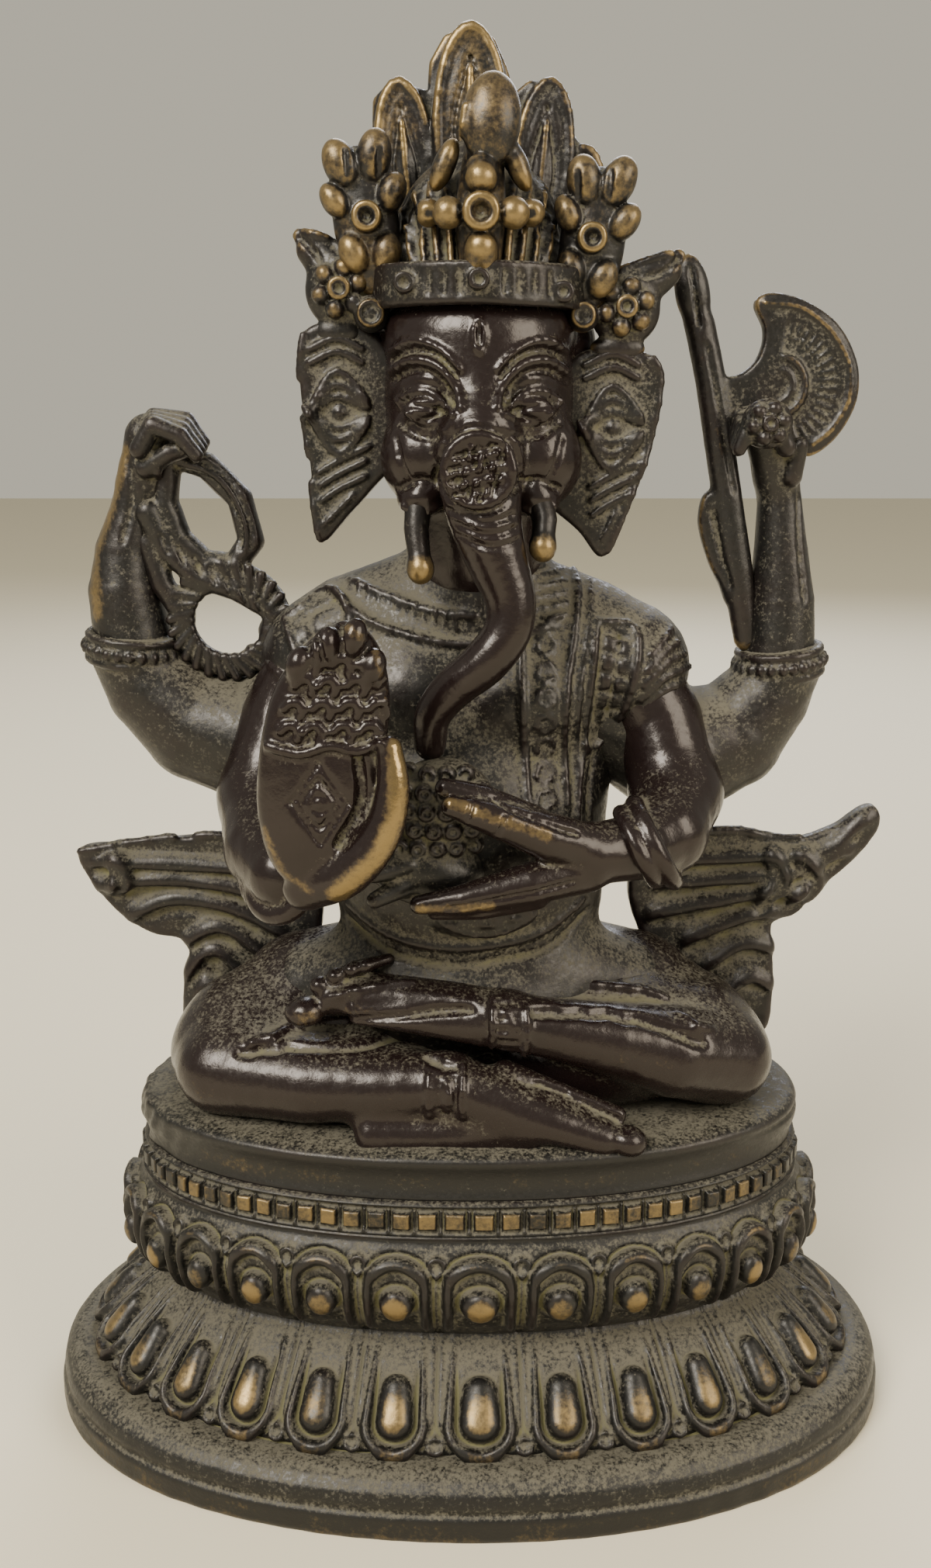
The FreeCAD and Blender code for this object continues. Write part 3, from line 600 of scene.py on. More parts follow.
# ---------------------------------------------------------------- finishes
def feed(tree, socket, value):
    """Link what feeds a socket to it, or set it to a plain value."""
    if isinstance(value, bpy.types.NodeSocket):
        tree.links.new(value, socket)
    else:
        socket.default_value = value


def add_node(tree, kind, settings=None, **inputs):
    """Add a shader node, set its settings, and feed its inputs by their names."""
    node = tree.nodes.new(kind)
    for key, value in (settings or {}).items():
        setattr(node, key, value)
    for key, value in inputs.items():
        feed(tree, node.inputs[key.replace("_", " ")], value)
    return node


def empty_material(name):
    """A new material and its cleared node tree."""
    material = bpy.data.materials.new(name)
    material.use_nodes = True
    material.node_tree.nodes.clear()
    return material, material.node_tree


def surface(tree, **inputs):
    """The shader that ends a material, with its inputs fed."""
    shader = add_node(tree, "ShaderNodeBsdfPrincipled", None, **inputs)
    add_node(tree, "ShaderNodeOutputMaterial", None, Surface=shader.outputs[0])


def mix(tree, kind, share, first, second):
    """The second value over the first by a share. The kind is RGBA for colours, FLOAT for numbers."""
    node = add_node(tree, "ShaderNodeMix", {"data_type": kind})
    colour = kind == "RGBA"
    for place, value in zip((0, 6, 7) if colour else (0, 2, 3), (share, first, second)):
        feed(tree, node.inputs[place], value)
    return node.outputs[2 if colour else 0]


def combine(tree, operation, first, second):
    """Two values added, subtracted or multiplied, as the operation says."""
    node = add_node(tree, "ShaderNodeMath", {"operation": operation})
    for socket, value in zip(node.inputs, (first, second)):
        feed(tree, socket, value)
    return node.outputs[0]


def stretch(tree, value, low, high, out_low=0.0, out_high=1.0):
    """A value's stretch from low to high spread over the given outputs, eased at both ends."""
    node = add_node(tree, "ShaderNodeMapRange", {"interpolation_type": "SMOOTHSTEP"}, Value=value,
                    From_Min=low, From_Max=high, To_Min=out_low, To_Max=out_high)
    return node.outputs[0]


GRAIN_MM = 0.45  # cast skin: the sand's grain, as left by a rough mould
BLOTCH_MM = 6.0  # the patina's cloudiness
DUST_MM = 1.3  # clumps of settled dust
FLECK_MM = 0.35  # single flecks of dust


def aged_bronze(name, polish, dust, wear):
    """Sand-cast bronze with an old chemical patina.

    Near-black brown where it is untouched, purple-brown and glossy where it is handled, bare
    golden metal on the sharp high places, and matt grey-green dust in the hollows and on ledges.
    """
    colours = bpy.context.scene.bronze_finish
    patina, rubbed, gold, soil, green = ((*getattr(colours, key), 1) for key in
                                         ("patina", "rubbed", "bare", "dust", "green"))
    material, tree = empty_material(name)
    place = add_node(tree, "ShaderNodeTexCoord").outputs["Object"]

    def marked(label):
        return add_node(tree, "ShaderNodeAttribute", {"attribute_name": label}).outputs["Fac"]

    def noise(size_mm, detail, roughness):
        return add_node(tree, "ShaderNodeTexNoise", None, Vector=place, Scale=1 / (size_mm * MM),
                        Detail=detail, Roughness=roughness).outputs["Fac"]

    def add(first, second):
        return combine(tree, "ADD", first, second)

    def times(first, second):
        return combine(tree, "MULTIPLY", first, second)

    def centred(value, amount):
        return times(combine(tree, "SUBTRACT", value, 0.5), amount)

    edge, broad, bare = marked("edge"), marked("broad"), marked("bare")
    fleck, grain = noise(FLECK_MM, 2.0, 0.7), noise(GRAIN_MM, 3.0, 0.6)
    blotch, clump = noise(BLOTCH_MM, 4.0, 0.6), noise(DUST_MM, 4.0, 0.65)
    facing = add_node(tree, "ShaderNodeNewGeometry").outputs["Normal"]
    up = add_node(tree, "ShaderNodeSeparateXYZ", None, Vector=facing).outputs["Z"]
    # Worn places: where handling has bared it, and a little where it stands proud, in patches.
    proud = stretch(tree, add(edge, times(broad, 0.16)), 0.3, 2.3)
    uneven = add(centred(blotch, 1.1), centred(grain, 1.0))
    handled = add(times(bare, 1.5), times(proud, wear))
    worn = stretch(tree, add(handled, uneven), 0.6, 1.6)
    warm = stretch(tree, add(add(blotch, polish), times(proud, 0.25)), 0.5, 1.15)
    # Dust: thick in the hollows and on ledges that face up, a speckled film elsewhere, none where rubbed; the
    # seat pad's front band is also cleared of it as painted shade.
    low = add(times(broad, -0.09), times(edge, -0.22))
    hollow = stretch(tree, low, -0.5, 0.9, -0.45, 0.75)
    ledge = stretch(tree, up, 0.2, 0.95, 0.0, 0.65)
    film = add(add(hollow, ledge), add(centred(clump, 1.2), dust))
    film = combine(tree, "SUBTRACT", film, times(bare, 1.2))
    dusty = stretch(tree, add(film, centred(fleck, 2.4)), 0.25, 1.25, 0.0, 0.9)
    # Colour: patina, then polish, then bare metal, with the dust over them all, green where it lies deepest.
    metal = mix(tree, "RGBA", worn, mix(tree, "RGBA", warm, patina, rubbed), gold)
    deep = stretch(tree, add(low, blotch), 0.75, 1.6, 0.0, 0.8)
    colour = mix(tree, "RGBA", dusty, metal, mix(tree, "RGBA", deep, soil, green))
    rough_metal = stretch(tree, grain, 0.3, 0.75, 0.34 - 0.2 * polish, 0.5 - 0.3 * polish)
    lumps = add(times(grain, 0.5), times(clump, 0.8))
    skin = add_node(tree, "ShaderNodeBump", None, Strength=0.35, Distance=0.12 * MM, Height=lumps).outputs[0]
    surface(tree, Base_Color=colour, Normal=skin, Roughness=mix(tree, "FLOAT", dusty, rough_metal, 0.9),
            Metallic=mix(tree, "FLOAT", dusty, mix(tree, "FLOAT", worn, 0.25, 0.9), 0.0))
    material.diffuse_color = patina
    return material


def plain_surface(name, colour, rough, metallic=1.0):
    """An even surface: unpolished metal, or paint where metallic is 0."""
    material, tree = empty_material(name)
    surface(tree, Base_Color=srgb(colour), Metallic=metallic, Roughness=rough)
    return material


BRONZES = {  # material name, polish, dust, wear
    "base": ("cast bronze, dusty", 0.0, 0.44, 0.12),
    "body": ("cast bronze, dark patina", 0.2, 0.5, 0.25),
    "limb": ("cast bronze, handled", 0.65, 0.12, 0.2),
    "face": ("cast bronze, rubbed glossy", 0.75, 0.02, 0.25),
    "crown": ("cast bronze, high places worn bare", 0.2, 0.4, 1.2),
}
PLAIN_METALS = {"copper": ("hammered copper sheet", "5a3a2a", 0.55),
                "brass": ("drawn brass rod", "8f7440", 0.4)}
FINISHES = {}


def finish(name):
    """The named finish. All of them are made the first time that one is asked for."""
    if not FINISHES:
        FINISHES.update({key: aged_bronze(*settings) for key, settings in BRONZES.items()})
        FINISHES.update({key: plain_surface(*settings) for key, settings in PLAIN_METALS.items()})
    return FINISHES[name]


# ---------------------------------------------------------------- the base
def foot_relief(along, share, line):
    """Slight unevenness of the hand-finished wax; the lip that stands on the shelf is half bare."""
    wave = 0.08 * np.sin(share * 2 * math.pi * 5 + 1) * np.ones_like(along)
    return wave, 0.42 * (1 - ramp(line[None, :, 1], 1.9, 2.7))


def petal_place(share, petals, pitch):
    """How far across its own petal each point lies, in mm, with the first petal just off the front."""
    turn = share * petals + 0.5 - FIRST_PETAL
    return (turn - np.floor(turn) - 0.5) * pitch


class BRONZE_OT_foot(bpy.types.Operator):
    """The stepped foot of the base: a worn lip, a round bulge and a flat ledge"""
    bl_idname = "bronze.foot"
    bl_label = "Foot"

    def execute(self, context):
        out = PLAN_INSET
        profile = [(out - 0.15, 0), (out, 0.3), (out, 2.3), (out - 0.2, 2.6), (out - 0.45, 2.8),
                   (out - 0.38, 3.1), (out - 0.25, 3.7), (out - 0.5, 4.7), (out - 1.3, 5.6),
                   (out - 2.3, 6.05), (out - 3.0, 6.1), (out - 4.4, 6.0), (out - 5.6, 6.3)]
        skin = ring_skin(profile, 64, 700, foot_relief, 2.2, 0.09, 11)
        make_piece("foot_ring", *skin, finish("base"), 5, 30)
        return {"FINISHED"}


class BRONZE_OT_lower_lotus(bpy.types.Operator):
    """The lower ring of petals, hanging with their tips out"""
    bl_idname = "bronze.lower_lotus"
    bl_label = "Lower lotus"

    def execute(self, context):
        sizes = context.scene.bronze_base
        waist = corner("lower_lotus", 1, 2)

        def petals(along, share, line):
            p = petal_place(share, sizes.petals, PETAL_PITCH)
            side = PETAL_PITCH / 2 - np.abs(p)
            q = along + 0 * share
            boss = capsule(p, q, 3.5, 6.6, 1.68 - 0.1 * np.clip(q - 4, 0, 6))
            height = sizes.petal_rise * 1.1 * dome(boss, 1.5)
            lip = capsule(p, q, 3.4, 12.0, 2.7 - 0.05 * q)
            height += (1.05 - 0.085 * np.clip(q, 0, 10)) * ramp(0.72 - 0.025 * q - np.abs(lip), 0, 0.5)
            height -= 0.42 * bump(capsule(p, q, 3.4, 12.0, 1.9), 0.22) * (1 - ramp(q, 7.5, 9.5))
            height -= 0.3 * bump(capsule(p, q, 3.4, 12.0, 3.45), 0.2)
            web = ramp(side, 0.05, 0.3) * (1 - ramp(side, 0.35, 0.6)) * ramp(q, 2.6, 4.0)
            height += 0.3 * web
            curl = np.hypot(side, (q - 1.5)) - 0.66
            height += 0.45 * bump(curl, 0.27) * ramp(q, 0.2, 0.8)
            bare = 0.8 * ramp(-boss, 0.15, 0.95) * (1 - 0.65 * ramp(q, 4.2, 7.2))
            crescent = ramp(0.42 - np.abs(lip + 0.1), 0, 0.3) * ramp(2.6 - q, 0, 0.9)
            crescent *= ramp(1.5 - np.abs(p), 0, 0.7)
            bare = np.maximum(bare * (0.95 + 0.2 * np.sin(share * 71 + 1)), 0.5 * crescent)
            return height * ramp(q, 0.0, 0.7) * (1 - ramp(q, 10.0, 10.7) * 0.6), bare
        profile = [(6.9, FOOT_TOP - 0.5), (7.3, FOOT_TOP + 0.3), (6.6, FOOT_TOP + 1.5), (4.4, FOOT_TOP + 3.9),
                   (1.6, FOOT_TOP + 6.4), (-0.2, waist - 0.5), (-0.5, waist + 0.1)]
        skin = ring_skin(profile, 84, 1008, petals, 1.9, 0.09, 12)
        make_piece("lower_lotus", *skin, finish("base"), 5, 34)
        return {"FINISHED"}


class BRONZE_OT_upper_lotus(bpy.types.Operator):
    """The upper ring of petals: arches over round studs"""
    bl_idname = "bronze.upper_lotus"
    bl_label = "Upper lotus"

    def execute(self, context):
        sizes = context.scene.bronze_base
        waist, rim = corner("lower_lotus", 1, 2), corner("upper_lotus", 1, 2)

        def petals(along, share, line):
            p = petal_place(share, sizes.petals, PETAL_PITCH)
            side = PETAL_PITCH / 2 - np.abs(p)
            q = along + 0 * share
            arch = capsule(p, q, -2.0, 8.45, 2.62)
            thick = 0.62 + 0.3 * ramp(q, 8.8, 10.6)
            height = 0.95 * ramp(thick - np.abs(arch), 0, 0.5) * ramp(q, 1.6, 4.6)
            height += 0.3 * bump(arch + 0.15, 0.45) * ramp(q, 9.4, 10.8)
            stud = np.hypot(p, (q - 6.9) * 0.95) - 1.66
            height -= 0.35 * bump(stud - 0.2, 0.26)
            height += (0.1 + sizes.petal_rise * 1.15) * dome(stud, 1.55)
            height -= 0.4 * bump(capsule(p, q, -2.0, 8.45, 3.45), 0.2)
            height += 0.34 * bump(side, 0.2) * ramp(q, 1.0, 2.5) * (1 - ramp(q, 8.6, 9.4))
            ring = np.hypot(side, (q - 10.7) * 0.9) - 0.72
            height += 0.5 * bump(ring, 0.28)
            bare = ramp(-stud, 0.15, 0.85) * (0.8 + 0.2 * np.sin(share * 93))
            band = ramp(0.4 - np.abs(arch + 0.05), 0, 0.3) * ramp(q, 10.2, 10.9)
            band *= ramp(1.9 - np.abs(p), 0, 0.8)
            bare = np.maximum(bare, 0.5 * band)
            return height * ramp(q, 0.0, 0.8) * (1 - ramp(q, 12.0, 12.5)), bare
        profile = [(-0.6, waist - 0.2), (0.2, waist + 0.4), (1.7, waist + 2.2), (2.9, waist + 4.6),
                   (3.3, waist + 6.6), (3.0, waist + 8.8), (2.3, waist + 10.4),
                   (1.7, rim - 0.3), (1.8, rim + 0.1)]
        skin = ring_skin(profile, 90, 1008, petals, 2.2, 0.09, 13)
        make_piece("upper_lotus", *skin, finish("base"), 5, 34)
        return {"FINISHED"}


class BRONZE_OT_bead_rim(bpy.types.Operator):
    """The rim of square-shouldered beads between two fillets"""
    bl_idname = "bronze.bead_rim"
    bl_label = "Bead rim"

    def execute(self, context):
        sizes = context.scene.bronze_base
        low, high = corner("upper_lotus", 1, 2), corner("bead_rim", 1, 2)

        def beads(along, share, line):
            turn = share * sizes.beads
            across = np.abs(turn - np.floor(turn) - 0.5) * 2
            up = np.abs(along - 2.25) / 1.25
            bead = ramp(1.0 - np.maximum((across / 0.8) ** 2.5, up ** 2.5), 0.0, 0.6)
            bar = bump(across - 1, 0.12) * ramp(1.25 - up, 0, 0.2)
            worn = 0.9 + 0.1 * np.sin(turn * 2.4)
            front = ramp(np.cos(share * 2 * math.pi), 0.1, 0.75)
            bare = ramp(bead, 0.35, 0.95) * (0.3 + 0.45 * front) * (0.9 + 0.2 * np.sin(turn * 1.7))
            return 0.95 * bead * worn + 0.42 * bar, bare
        profile = [(1.2, low - 0.2), (1.6, low + 0.1), (1.6, low + 0.35), (1.2, low + 0.6), (1.0, low + 0.9),
                   (1.0, low + 2.9), (1.4, low + 3.15), (1.6, low + 3.3), (1.2, high + 0.4)]
        skin = ring_skin(profile, 44, 1656, beads, 2.6, 0.04, 14)
        make_piece("bead_rim", *skin, finish("base"), 4, 20)
        return {"FINISHED"}


class BRONZE_OT_seat_pad(bpy.types.Operator):
    """The cushion that the figure sits on, with a hollow band round its edge, painted dark as shade at the
    front
    """
    bl_idname = "bronze.seat_pad"
    bl_label = "Seat pad"

    def execute(self, context):
        low = corner("bead_rim", 1, 2)
        columns = 560
        spots, out = plan_line(columns)
        angle = np.arctan2(out[:, 1], out[:, 0])
        left = ramp(-np.cos(angle), 0.35, 0.95)
        right = ramp(np.cos(angle), 0.45, 0.95)
        # The edge from below to above as (out, up); the front band is hollow and tall, the sides round.
        rows = [(-3.0, low + 0.2), (0.4, low + 0.1), (1.0, low + 0.3), (0.75, low + 0.8), (0.55, low + 1.6),
                (0.6, low + 2.6), (0.95, low + 3.6), (1.3, low + 4.3), (1.1, low + 4.85),
                (0.2, SEAT_TOP - 0.18), (-1.4, SEAT_TOP), (-3.5, SEAT_TOP + 0.1), (-7, SEAT_TOP + 0.12)]
        along, line, off = smooth_profile(rows, 72)
        belly = bump(line[:, 1] - (low + 2.6), 1.6) * (line[:, 0] > 0)
        reach = line[None, :, 0] + (0.9 * right + 0.9 * left)[:, None] * belly[None, :]
        rough = waves(np.stack([spots[:, 0, None] + 0 * line[None, :, 0],
                                spots[:, 1, None] + 0 * line[None, :, 0],
                                line[None, :, 1] + 0 * spots[:, :1]], axis=2), (3.4, 1.9), 21)
        reach += left[:, None] * rough * 0.45 * (line[None, :, 0] > 0)
        level = np.broadcast_to(line[None, :, 1], reach.shape) + 0.12 * left[:, None] * rough
        reach -= 0.35 * right[:, None] * bump(line[None, :, 1] - (low + 3.7), 0.25) * (line[None, :, 0] > 0)
        ring = np.stack([spots[:, 0, None] + out[:, 0, None] * reach,
                         spots[:, 1, None] + out[:, 1, None] * reach, level], axis=2)
        # The top and the underside close on two points, each ring of the way there a shrunk copy.
        shares = np.linspace(1, 0, 40)[1:-1]
        top = np.concatenate([ring[:, -1:, :2] * shares[None, :, None],
                              np.full((columns, len(shares), 1), SEAT_TOP + 0.12)], axis=2)
        below = np.concatenate([ring[:, :1, :2] * shares[None, ::-1, None],
                                np.full((columns, len(shares), 1), low + 0.2)], axis=2)
        points = np.concatenate([below, ring, top], axis=1)
        rows_all = points.shape[1]
        flat = points.reshape(-1, 3)
        lumps = waves(flat * [1, 1, 0.2], (13, 5.0, 2.2), 22) * 0.14
        flat = flat + np.stack([0 * lumps, 0 * lumps, lumps * ramp(flat[:, 2], SEAT_TOP - 1, SEAT_TOP)],
                               axis=1)
        faces = grid_faces(columns, rows_all, False)
        first = np.arange(columns) * rows_all
        following = np.roll(first, -1)
        pole = np.full(columns, len(flat))
        under = np.stack([following, first, pole, pole], axis=1)
        over = np.stack([first + rows_all - 1, following + rows_all - 1, pole + 1, pole + 1], axis=1)
        flat = np.concatenate([flat, [[0, 0, low + 0.2], [0, 0, SEAT_TOP + 0.12]]])
        # Painted shade: the front of the hollow band under the rim is cleared of dust so the near-black
        # patina shows there, and is only slightly bared.
        rubbed = 0.4 * bump(flat[:, 2] - (low + 2.2), 1.8) * ramp(-flat[:, 1], 2, 14)
        make_piece("seat_pad", flat, np.concatenate([faces, under, over]), rubbed, finish("base"), 5)
        return {"FINISHED"}


# ---------------------------------------------------------------- legs
class BRONZE_OT_right_leg(bpy.types.Operator):
    """The figure's right leg: its shin lies in front and its foot rests on the pad"""
    bl_idname = "bronze.right_leg"
    bl_label = "Right leg"

    def execute(self, context):
        clay = Clay((-34, -21, 33), (20, 11, 53), 0.3)
        clay.join(rod([(-8, 3, 42), (-17, 1.5, 41.8), (-23.4, -1.2, 40.2)], [9.5, 8.2, 6.2]), 1)
        clay.join(egg((-22.6, -3.2, 39.4), (8.6, 8.6, 5.8), turn_by(0, -8, 14)), 3)
        clay.join(rod([(-25, -8, 38.8), (-16, -11.4, 38.9), (-9, -12.6, 39.1), (-2, -13.4, 39.6)],
                      [4.6, 4.0, 3.5, 3.0]), 1.4)
        clay.join(egg((-12, -3, 39), (13, 9, 6.0), turn_by()), 3)
        # heel, foot and toes, half sunk in the pad's dust
        clay.join(rod([(-2, -13.4, 39.6), (2.8, -14.2, 38.2), (8.0, -15.4, 36.6), (13.0, -16.0, 35.2)],
                      [3.0, 2.9, 2.3, 1.7]), 1.2)
        clay.join(rod([(3.5, -13.0, 40.4), (9, -13.8, 38.6), (14.5, -14.4, 36.8)], [1.5, 1.2, 0.9]), 0.8)
        clay.join(egg((15.4, -16.3, 35.0), (1.9, 1.6, 1.5), turn_by(0, 15, 0)), 0.5)
        for across, up in ((12.6, 37.4), (10.6, 38.2), (8.8, 38.9)):
            clay.join(rod([(across - 1.2, -14.2, up), (across + 0.6, -15.6, up - 1.2)], [0.8, 0.7]), 0.3)
        clay.draw([(5.0, 40.6), (8.8, 39.4), (12.8, 37.6), (15.6, 36.2)], 0.3, -0.3)
        # fold where the calf meets the thigh
        clay.draw([(-22.5, 42.2), (-17, 42.9), (-9, 43.0), (-1.5, 42.3)], 0.45, -0.5, soft=0.5)
        clay.draw([(-21.5, 43.0), (-15, 44.1), (-8, 44.2), (-2, 43.4)], 0.4, 0.3, soft=0.5)
        # square anklet panel
        for across in (-3.9, -0.6):
            clay.draw([(across, 42.4), (across - 0.1, 39.6), (across, 37.2)], 0.3, 0.32)
        clay.draw([(-2.9, 41.6), (-1.5, 41.6), (-1.5, 38.0), (-2.9, 38.0), (-2.9, 41.6)], 0.18, -0.22)
        clay.draw([(-2.2, 41.0), (-1.9, 39.8), (-2.3, 38.6)], 0.2, 0.25)
        clay.join(block((-2.2, -10.5, 33.5), (9, 6, 3.0), 1.5), 2.0)
        clay.rub([(-27, 38.6), (-18, 38.4), (-6, 38.8)], 4.2, 0.32)
        model("right_leg", clay, finish("limb"), 0.05, 31)
        return {"FINISHED"}


class BRONZE_OT_left_leg(bpy.types.Operator):
    """The figure's left leg: it crosses over, and its foot lies sole up in the lap"""
    bl_idname = "bronze.left_leg"
    bl_label = "Left leg"

    def execute(self, context):
        clay = Clay((-21, -20, 33), (35, 11, 53.5), 0.3)
        clay.join(rod([(8, 3, 42.4), (17, 1.6, 42.0), (23, -0.6, 40.4)], [9.3, 8.0, 6.2]), 1)
        clay.join(egg((13, -3, 40), (13, 9, 6.5)), 3)
        clay.join(egg((24.4, -3.6, 39.6), (6.9, 7.4, 5.6), turn_by(0, 12, -12)), 2)
        clay.join(rod([(26.2, -6.5, 39.4), (20.4, -9.6, 41.4), (14.6, -11.0, 43.2), (8.6, -12.0, 44.8),
                       (3.6, -12.4, 45.9)], [4.7, 4.6, 3.7, 3.0, 2.8]), 1.0)
        clay.join(rod([(24, -4, 43.0), (15, -6, 45.6), (7, -8, 47.0)], [3.0, 2.2, 1.6]), 1.6)
        # foot in the lap: sole, heel, ball of the toe and the row of small toes
        clay.join(rod([(3.6, -12.0, 46.0), (-2, -11.2, 47.2), (-9, -10.4, 47.8), (-13.5, -10.0, 47.6)],
                      [2.7, 2.2, 2.1, 2.0], (1, 0.9, 1)), 1.0)
        clay.join(rod([(1, -12.8, 45.2), (-6, -12.4, 46.2), (-11, -11.8, 46.4)], [1.7, 1.5, 1.1]), 0.8)
        clay.join(egg((-16.2, -11.4, 46.4), (2.0, 1.8, 1.5), turn_by(0, -8, 0)), 0.35)
        clay.dot((-16.9, 46.4), 0.8, -0.14)
        for across, up, size in [(-14.8, 48.9, 0.95), (-13.2, 49.9, 0.85),
                                 (-11.6, 50.6, 0.8), (-10.2, 51.0, 0.7)]:
            clay.join(rod([(across, -10.9, up), (across + 2.2, -9.2, up + 0.1)], [size, size * 0.8]), 0.25)
        clay.draw([(-12.4, 46.0), (-8, 46.6), (-3, 47.4), (0.2, 47.6)], 0.35, -0.4, soft=0.4)
        clay.draw([(-13.6, 48.2), (-9.5, 49.2), (-4, 49.7), (1, 49.4)], 0.3, 0.25, soft=0.4)
        clay.draw([(-11.8, 49.0), (-11.4, 47.0)], 0.3, -0.3)
        # anklet: a rimmed band hatched between its cords
        for shift in (-1.6, 1.7):
            clay.draw([(3.6 + shift, 49.6), (3.9 + shift, 46.4), (3.6 + shift, 42.6)], 0.36, 0.42)
        for up in (48.4, 47.2, 46.0, 44.8, 43.7):
            clay.draw([(2.6, up), (4.9, up)], 0.2, -0.24)
        clay.draw([(3.3, 47.8), (4.2, 46.4), (3.3, 45.0)], 0.2, 0.2)
        # fold over the shin
        clay.draw([(6.2, 47.4), (12, 46.9), (18, 45.6), (23.4, 43.4)], 0.45, -0.55, soft=0.6)
        clay.draw([(6.4, 48.4), (12, 47.9), (18, 46.8), (24, 44.4)], 0.35, 0.35, soft=0.5)
        clay.rub([(28, 39.6), (20, 41.4), (8, 44.6)], 4.4, 0.32)
        clay.rub([(-16.4, 46.4), (-10, 47.4)], 1.8, 0.4)
        model("left_leg", clay, finish("limb"), 0.05, 32)
        return {"FINISHED"}


# ---------------------------------------------------------------- torso
class BRONZE_OT_torso(bpy.types.Operator):
    """The pot belly, chest and shoulders, with the shawl, the necklaces and the belt"""
    bl_idname = "bronze.torso"
    bl_label = "Torso"

    def execute(self, context):
        clay = Clay((-27, -19, 34), (27, 13, 98), 0.33)
        clay.join(egg((0, -0.5, 57), (13.6, 9.6, 13)), 1)
        clay.join(rod([(0, 1, 44), (0, 0, 58)], [13.5, 12.5], (1, 1.35, 1)), 2)
        clay.join(egg((0, 1.0, 70), (14.6, 9.0, 14)), 5)
        clay.join(egg((-0.4, -2.4, 61.5), (11.6, 9.0, 10.5)), 4)
        clay.join(rod([(-14.6, 1, 79.5), (0, 1.6, 82), (15.6, 1, 78.8)], [6.4, 7.6, 6.6]), 3)
        clay.join(rod([(-12, 1.5, 84), (0, 1, 88), (12, 1.5, 83.4)], [3.6, 4.4, 3.6]), 3)
        clay.join(rod([(0.8, 0.6, 86), (0.9, 0, 96)], [6.2, 6.2]), 2)
        # breast folds, and the lap that joins the legs
        clay.join(egg((-5.6, -3.4, 77), (5.6, 5, 4.6)), 2.5)
        clay.join(egg((5.6, -3.4, 76), (5.6, 5, 4.6)), 2.5)
        clay.join(egg((0, -2, 46), (15, 10, 6.5)), 3)
        clay.join(rod([(-16, -1, 45), (-7, -5, 49)], [5, 3.4]), 3)
        clay.join(rod([(16, -1, 45), (7, -5, 49.6)], [5, 3.4]), 3)
        # belt under the belly with its scrolled clasp
        clay.draw([(-12.2, 55.6), (-8, 53.4), (-3, 52.6), (2, 52.8), (7, 53.8), (11.6, 56.6)], 0.45, 0.4)
        clay.draw([(-12.6, 53.8), (-8, 51.7), (-2, 50.8), (3, 51.2), (8, 52.2), (12, 54.8)], 0.35, -0.3)
        place = clay.meet(np.array([[1.6, 56.0]]))
        if len(place):
            clay.join(egg(place[0] + [0, 0.5, 0], (5.2, 1.3, 2.1), turn_by(0, -6, 0)), 0.4)
        clay.draw([(-3.0, 56.0), (1.5, 54.2), (6.2, 56.4), (1.7, 58.0)], 0.26, 0.26, closed=True)
        for across, up in ((-1.3, 56.0), (1.7, 56.1), (4.5, 56.6)):
            clay.draw(arc(across, up, 0.8, 0.7, np.linspace(0, 5.4, 7)), 0.2, 0.26)
        # necklaces: a hatched collar, a ring-set scarf down the chest, and a thin cord
        collar = [(-13.6, 86.8), (-10, 84.2), (-5, 82.6), (0, 82.0), (5, 82.8), (8.6, 84.4)]
        clay.draw([(-12.6, 88.2), (-8.6, 86.6), (-4, 85.2), (1, 84.6)], 0.4, 0.4)
        clay.draw(collar, 0.4, 0.42)
        for across, up in zip(np.linspace(-11.8, -1.4, 12), np.linspace(87.0, 83.6, 12)):
            clay.draw([(across, up + 0.9), (across + 0.25, up - 0.9)], 0.2, 0.22)
        left_edge = [(5.6, 90.8), (5.2, 86.5), (5.0, 81.5), (5.1, 76), (5.4, 70.5), (5.8, 66.0)]
        right_edge = [(9.6, 89.8), (10.6, 87.6), (10.2, 83.0), (9.4, 78), (9.2, 72), (9.6, 66.4)]
        clay.draw(left_edge, 0.38, 0.42)
        clay.draw(right_edge, 0.38, 0.42)
        clay.draw([(p[0] + 1.3, p[1]) for p in right_edge], 0.3, 0.3)
        for up in np.arange(67.2, 82, 2.45):
            clay.draw(arc(7.3, up, 0.95, 0.95, np.linspace(0, 6.28, 10)), 0.24, 0.28)
            clay.dot((7.3, up), 0.5, 0.2)
        for up in np.arange(83.2, 90.4, 1.0):
            clay.draw([(6.2, up), (9.4, up + 0.5)], 0.22, 0.26)
        # the shawl: a hatched panel on each shoulder, and pleats that fall over the left arm
        for outline in ([(12.4, 84.0), (16.4, 82.8), (14.8, 74.2), (11.4, 71.6)],
                        [(-18.2, 84.0), (-13.4, 87.0), (-11.6, 83.0), (-14.8, 77.2)]):
            clay.draw(outline + outline[:1], 0.34, 0.4)
        for a, b in (((13.2, 83.0), (15.6, 82.2)), ((13.0, 81.2), (15.4, 80.4)), ((12.8, 79.2), (15.2, 78.6)),
                     ((12.6, 77.2), (14.9, 76.8)), ((12.4, 75.2), (14.6, 75.2)), ((12.9, 83.2), (12.2, 74.0)),
                     ((14.6, 82.4), (13.4, 74.2))):
            clay.draw([a, b], 0.22, -0.3)
        for a, b in (((-16.8, 83.6), (-13.2, 85.8)), ((-16.2, 81.8), (-12.6, 83.8)),
                     ((-15.6, 80.0), (-12.6, 81.8)), ((-16.0, 84.6), (-13.8, 79.4))):
            clay.draw([a, b], 0.22, -0.3)
        for count in range(7):
            low = (15.6 + count * 0.35, 71.8 + count * 1.5)
            high = (21.6 + count * 0.1, 75.0 + count * 1.35)
            clay.draw(bowed(low, high, 0.9), 0.34, 0.4)
        clay.draw([(11.4, 72), (10.8, 68), (10.6, 64)], 0.35, 0.35)
        clay.draw([(12.6, 71.4), (12.0, 68), (11.8, 64)], 0.3, -0.3)
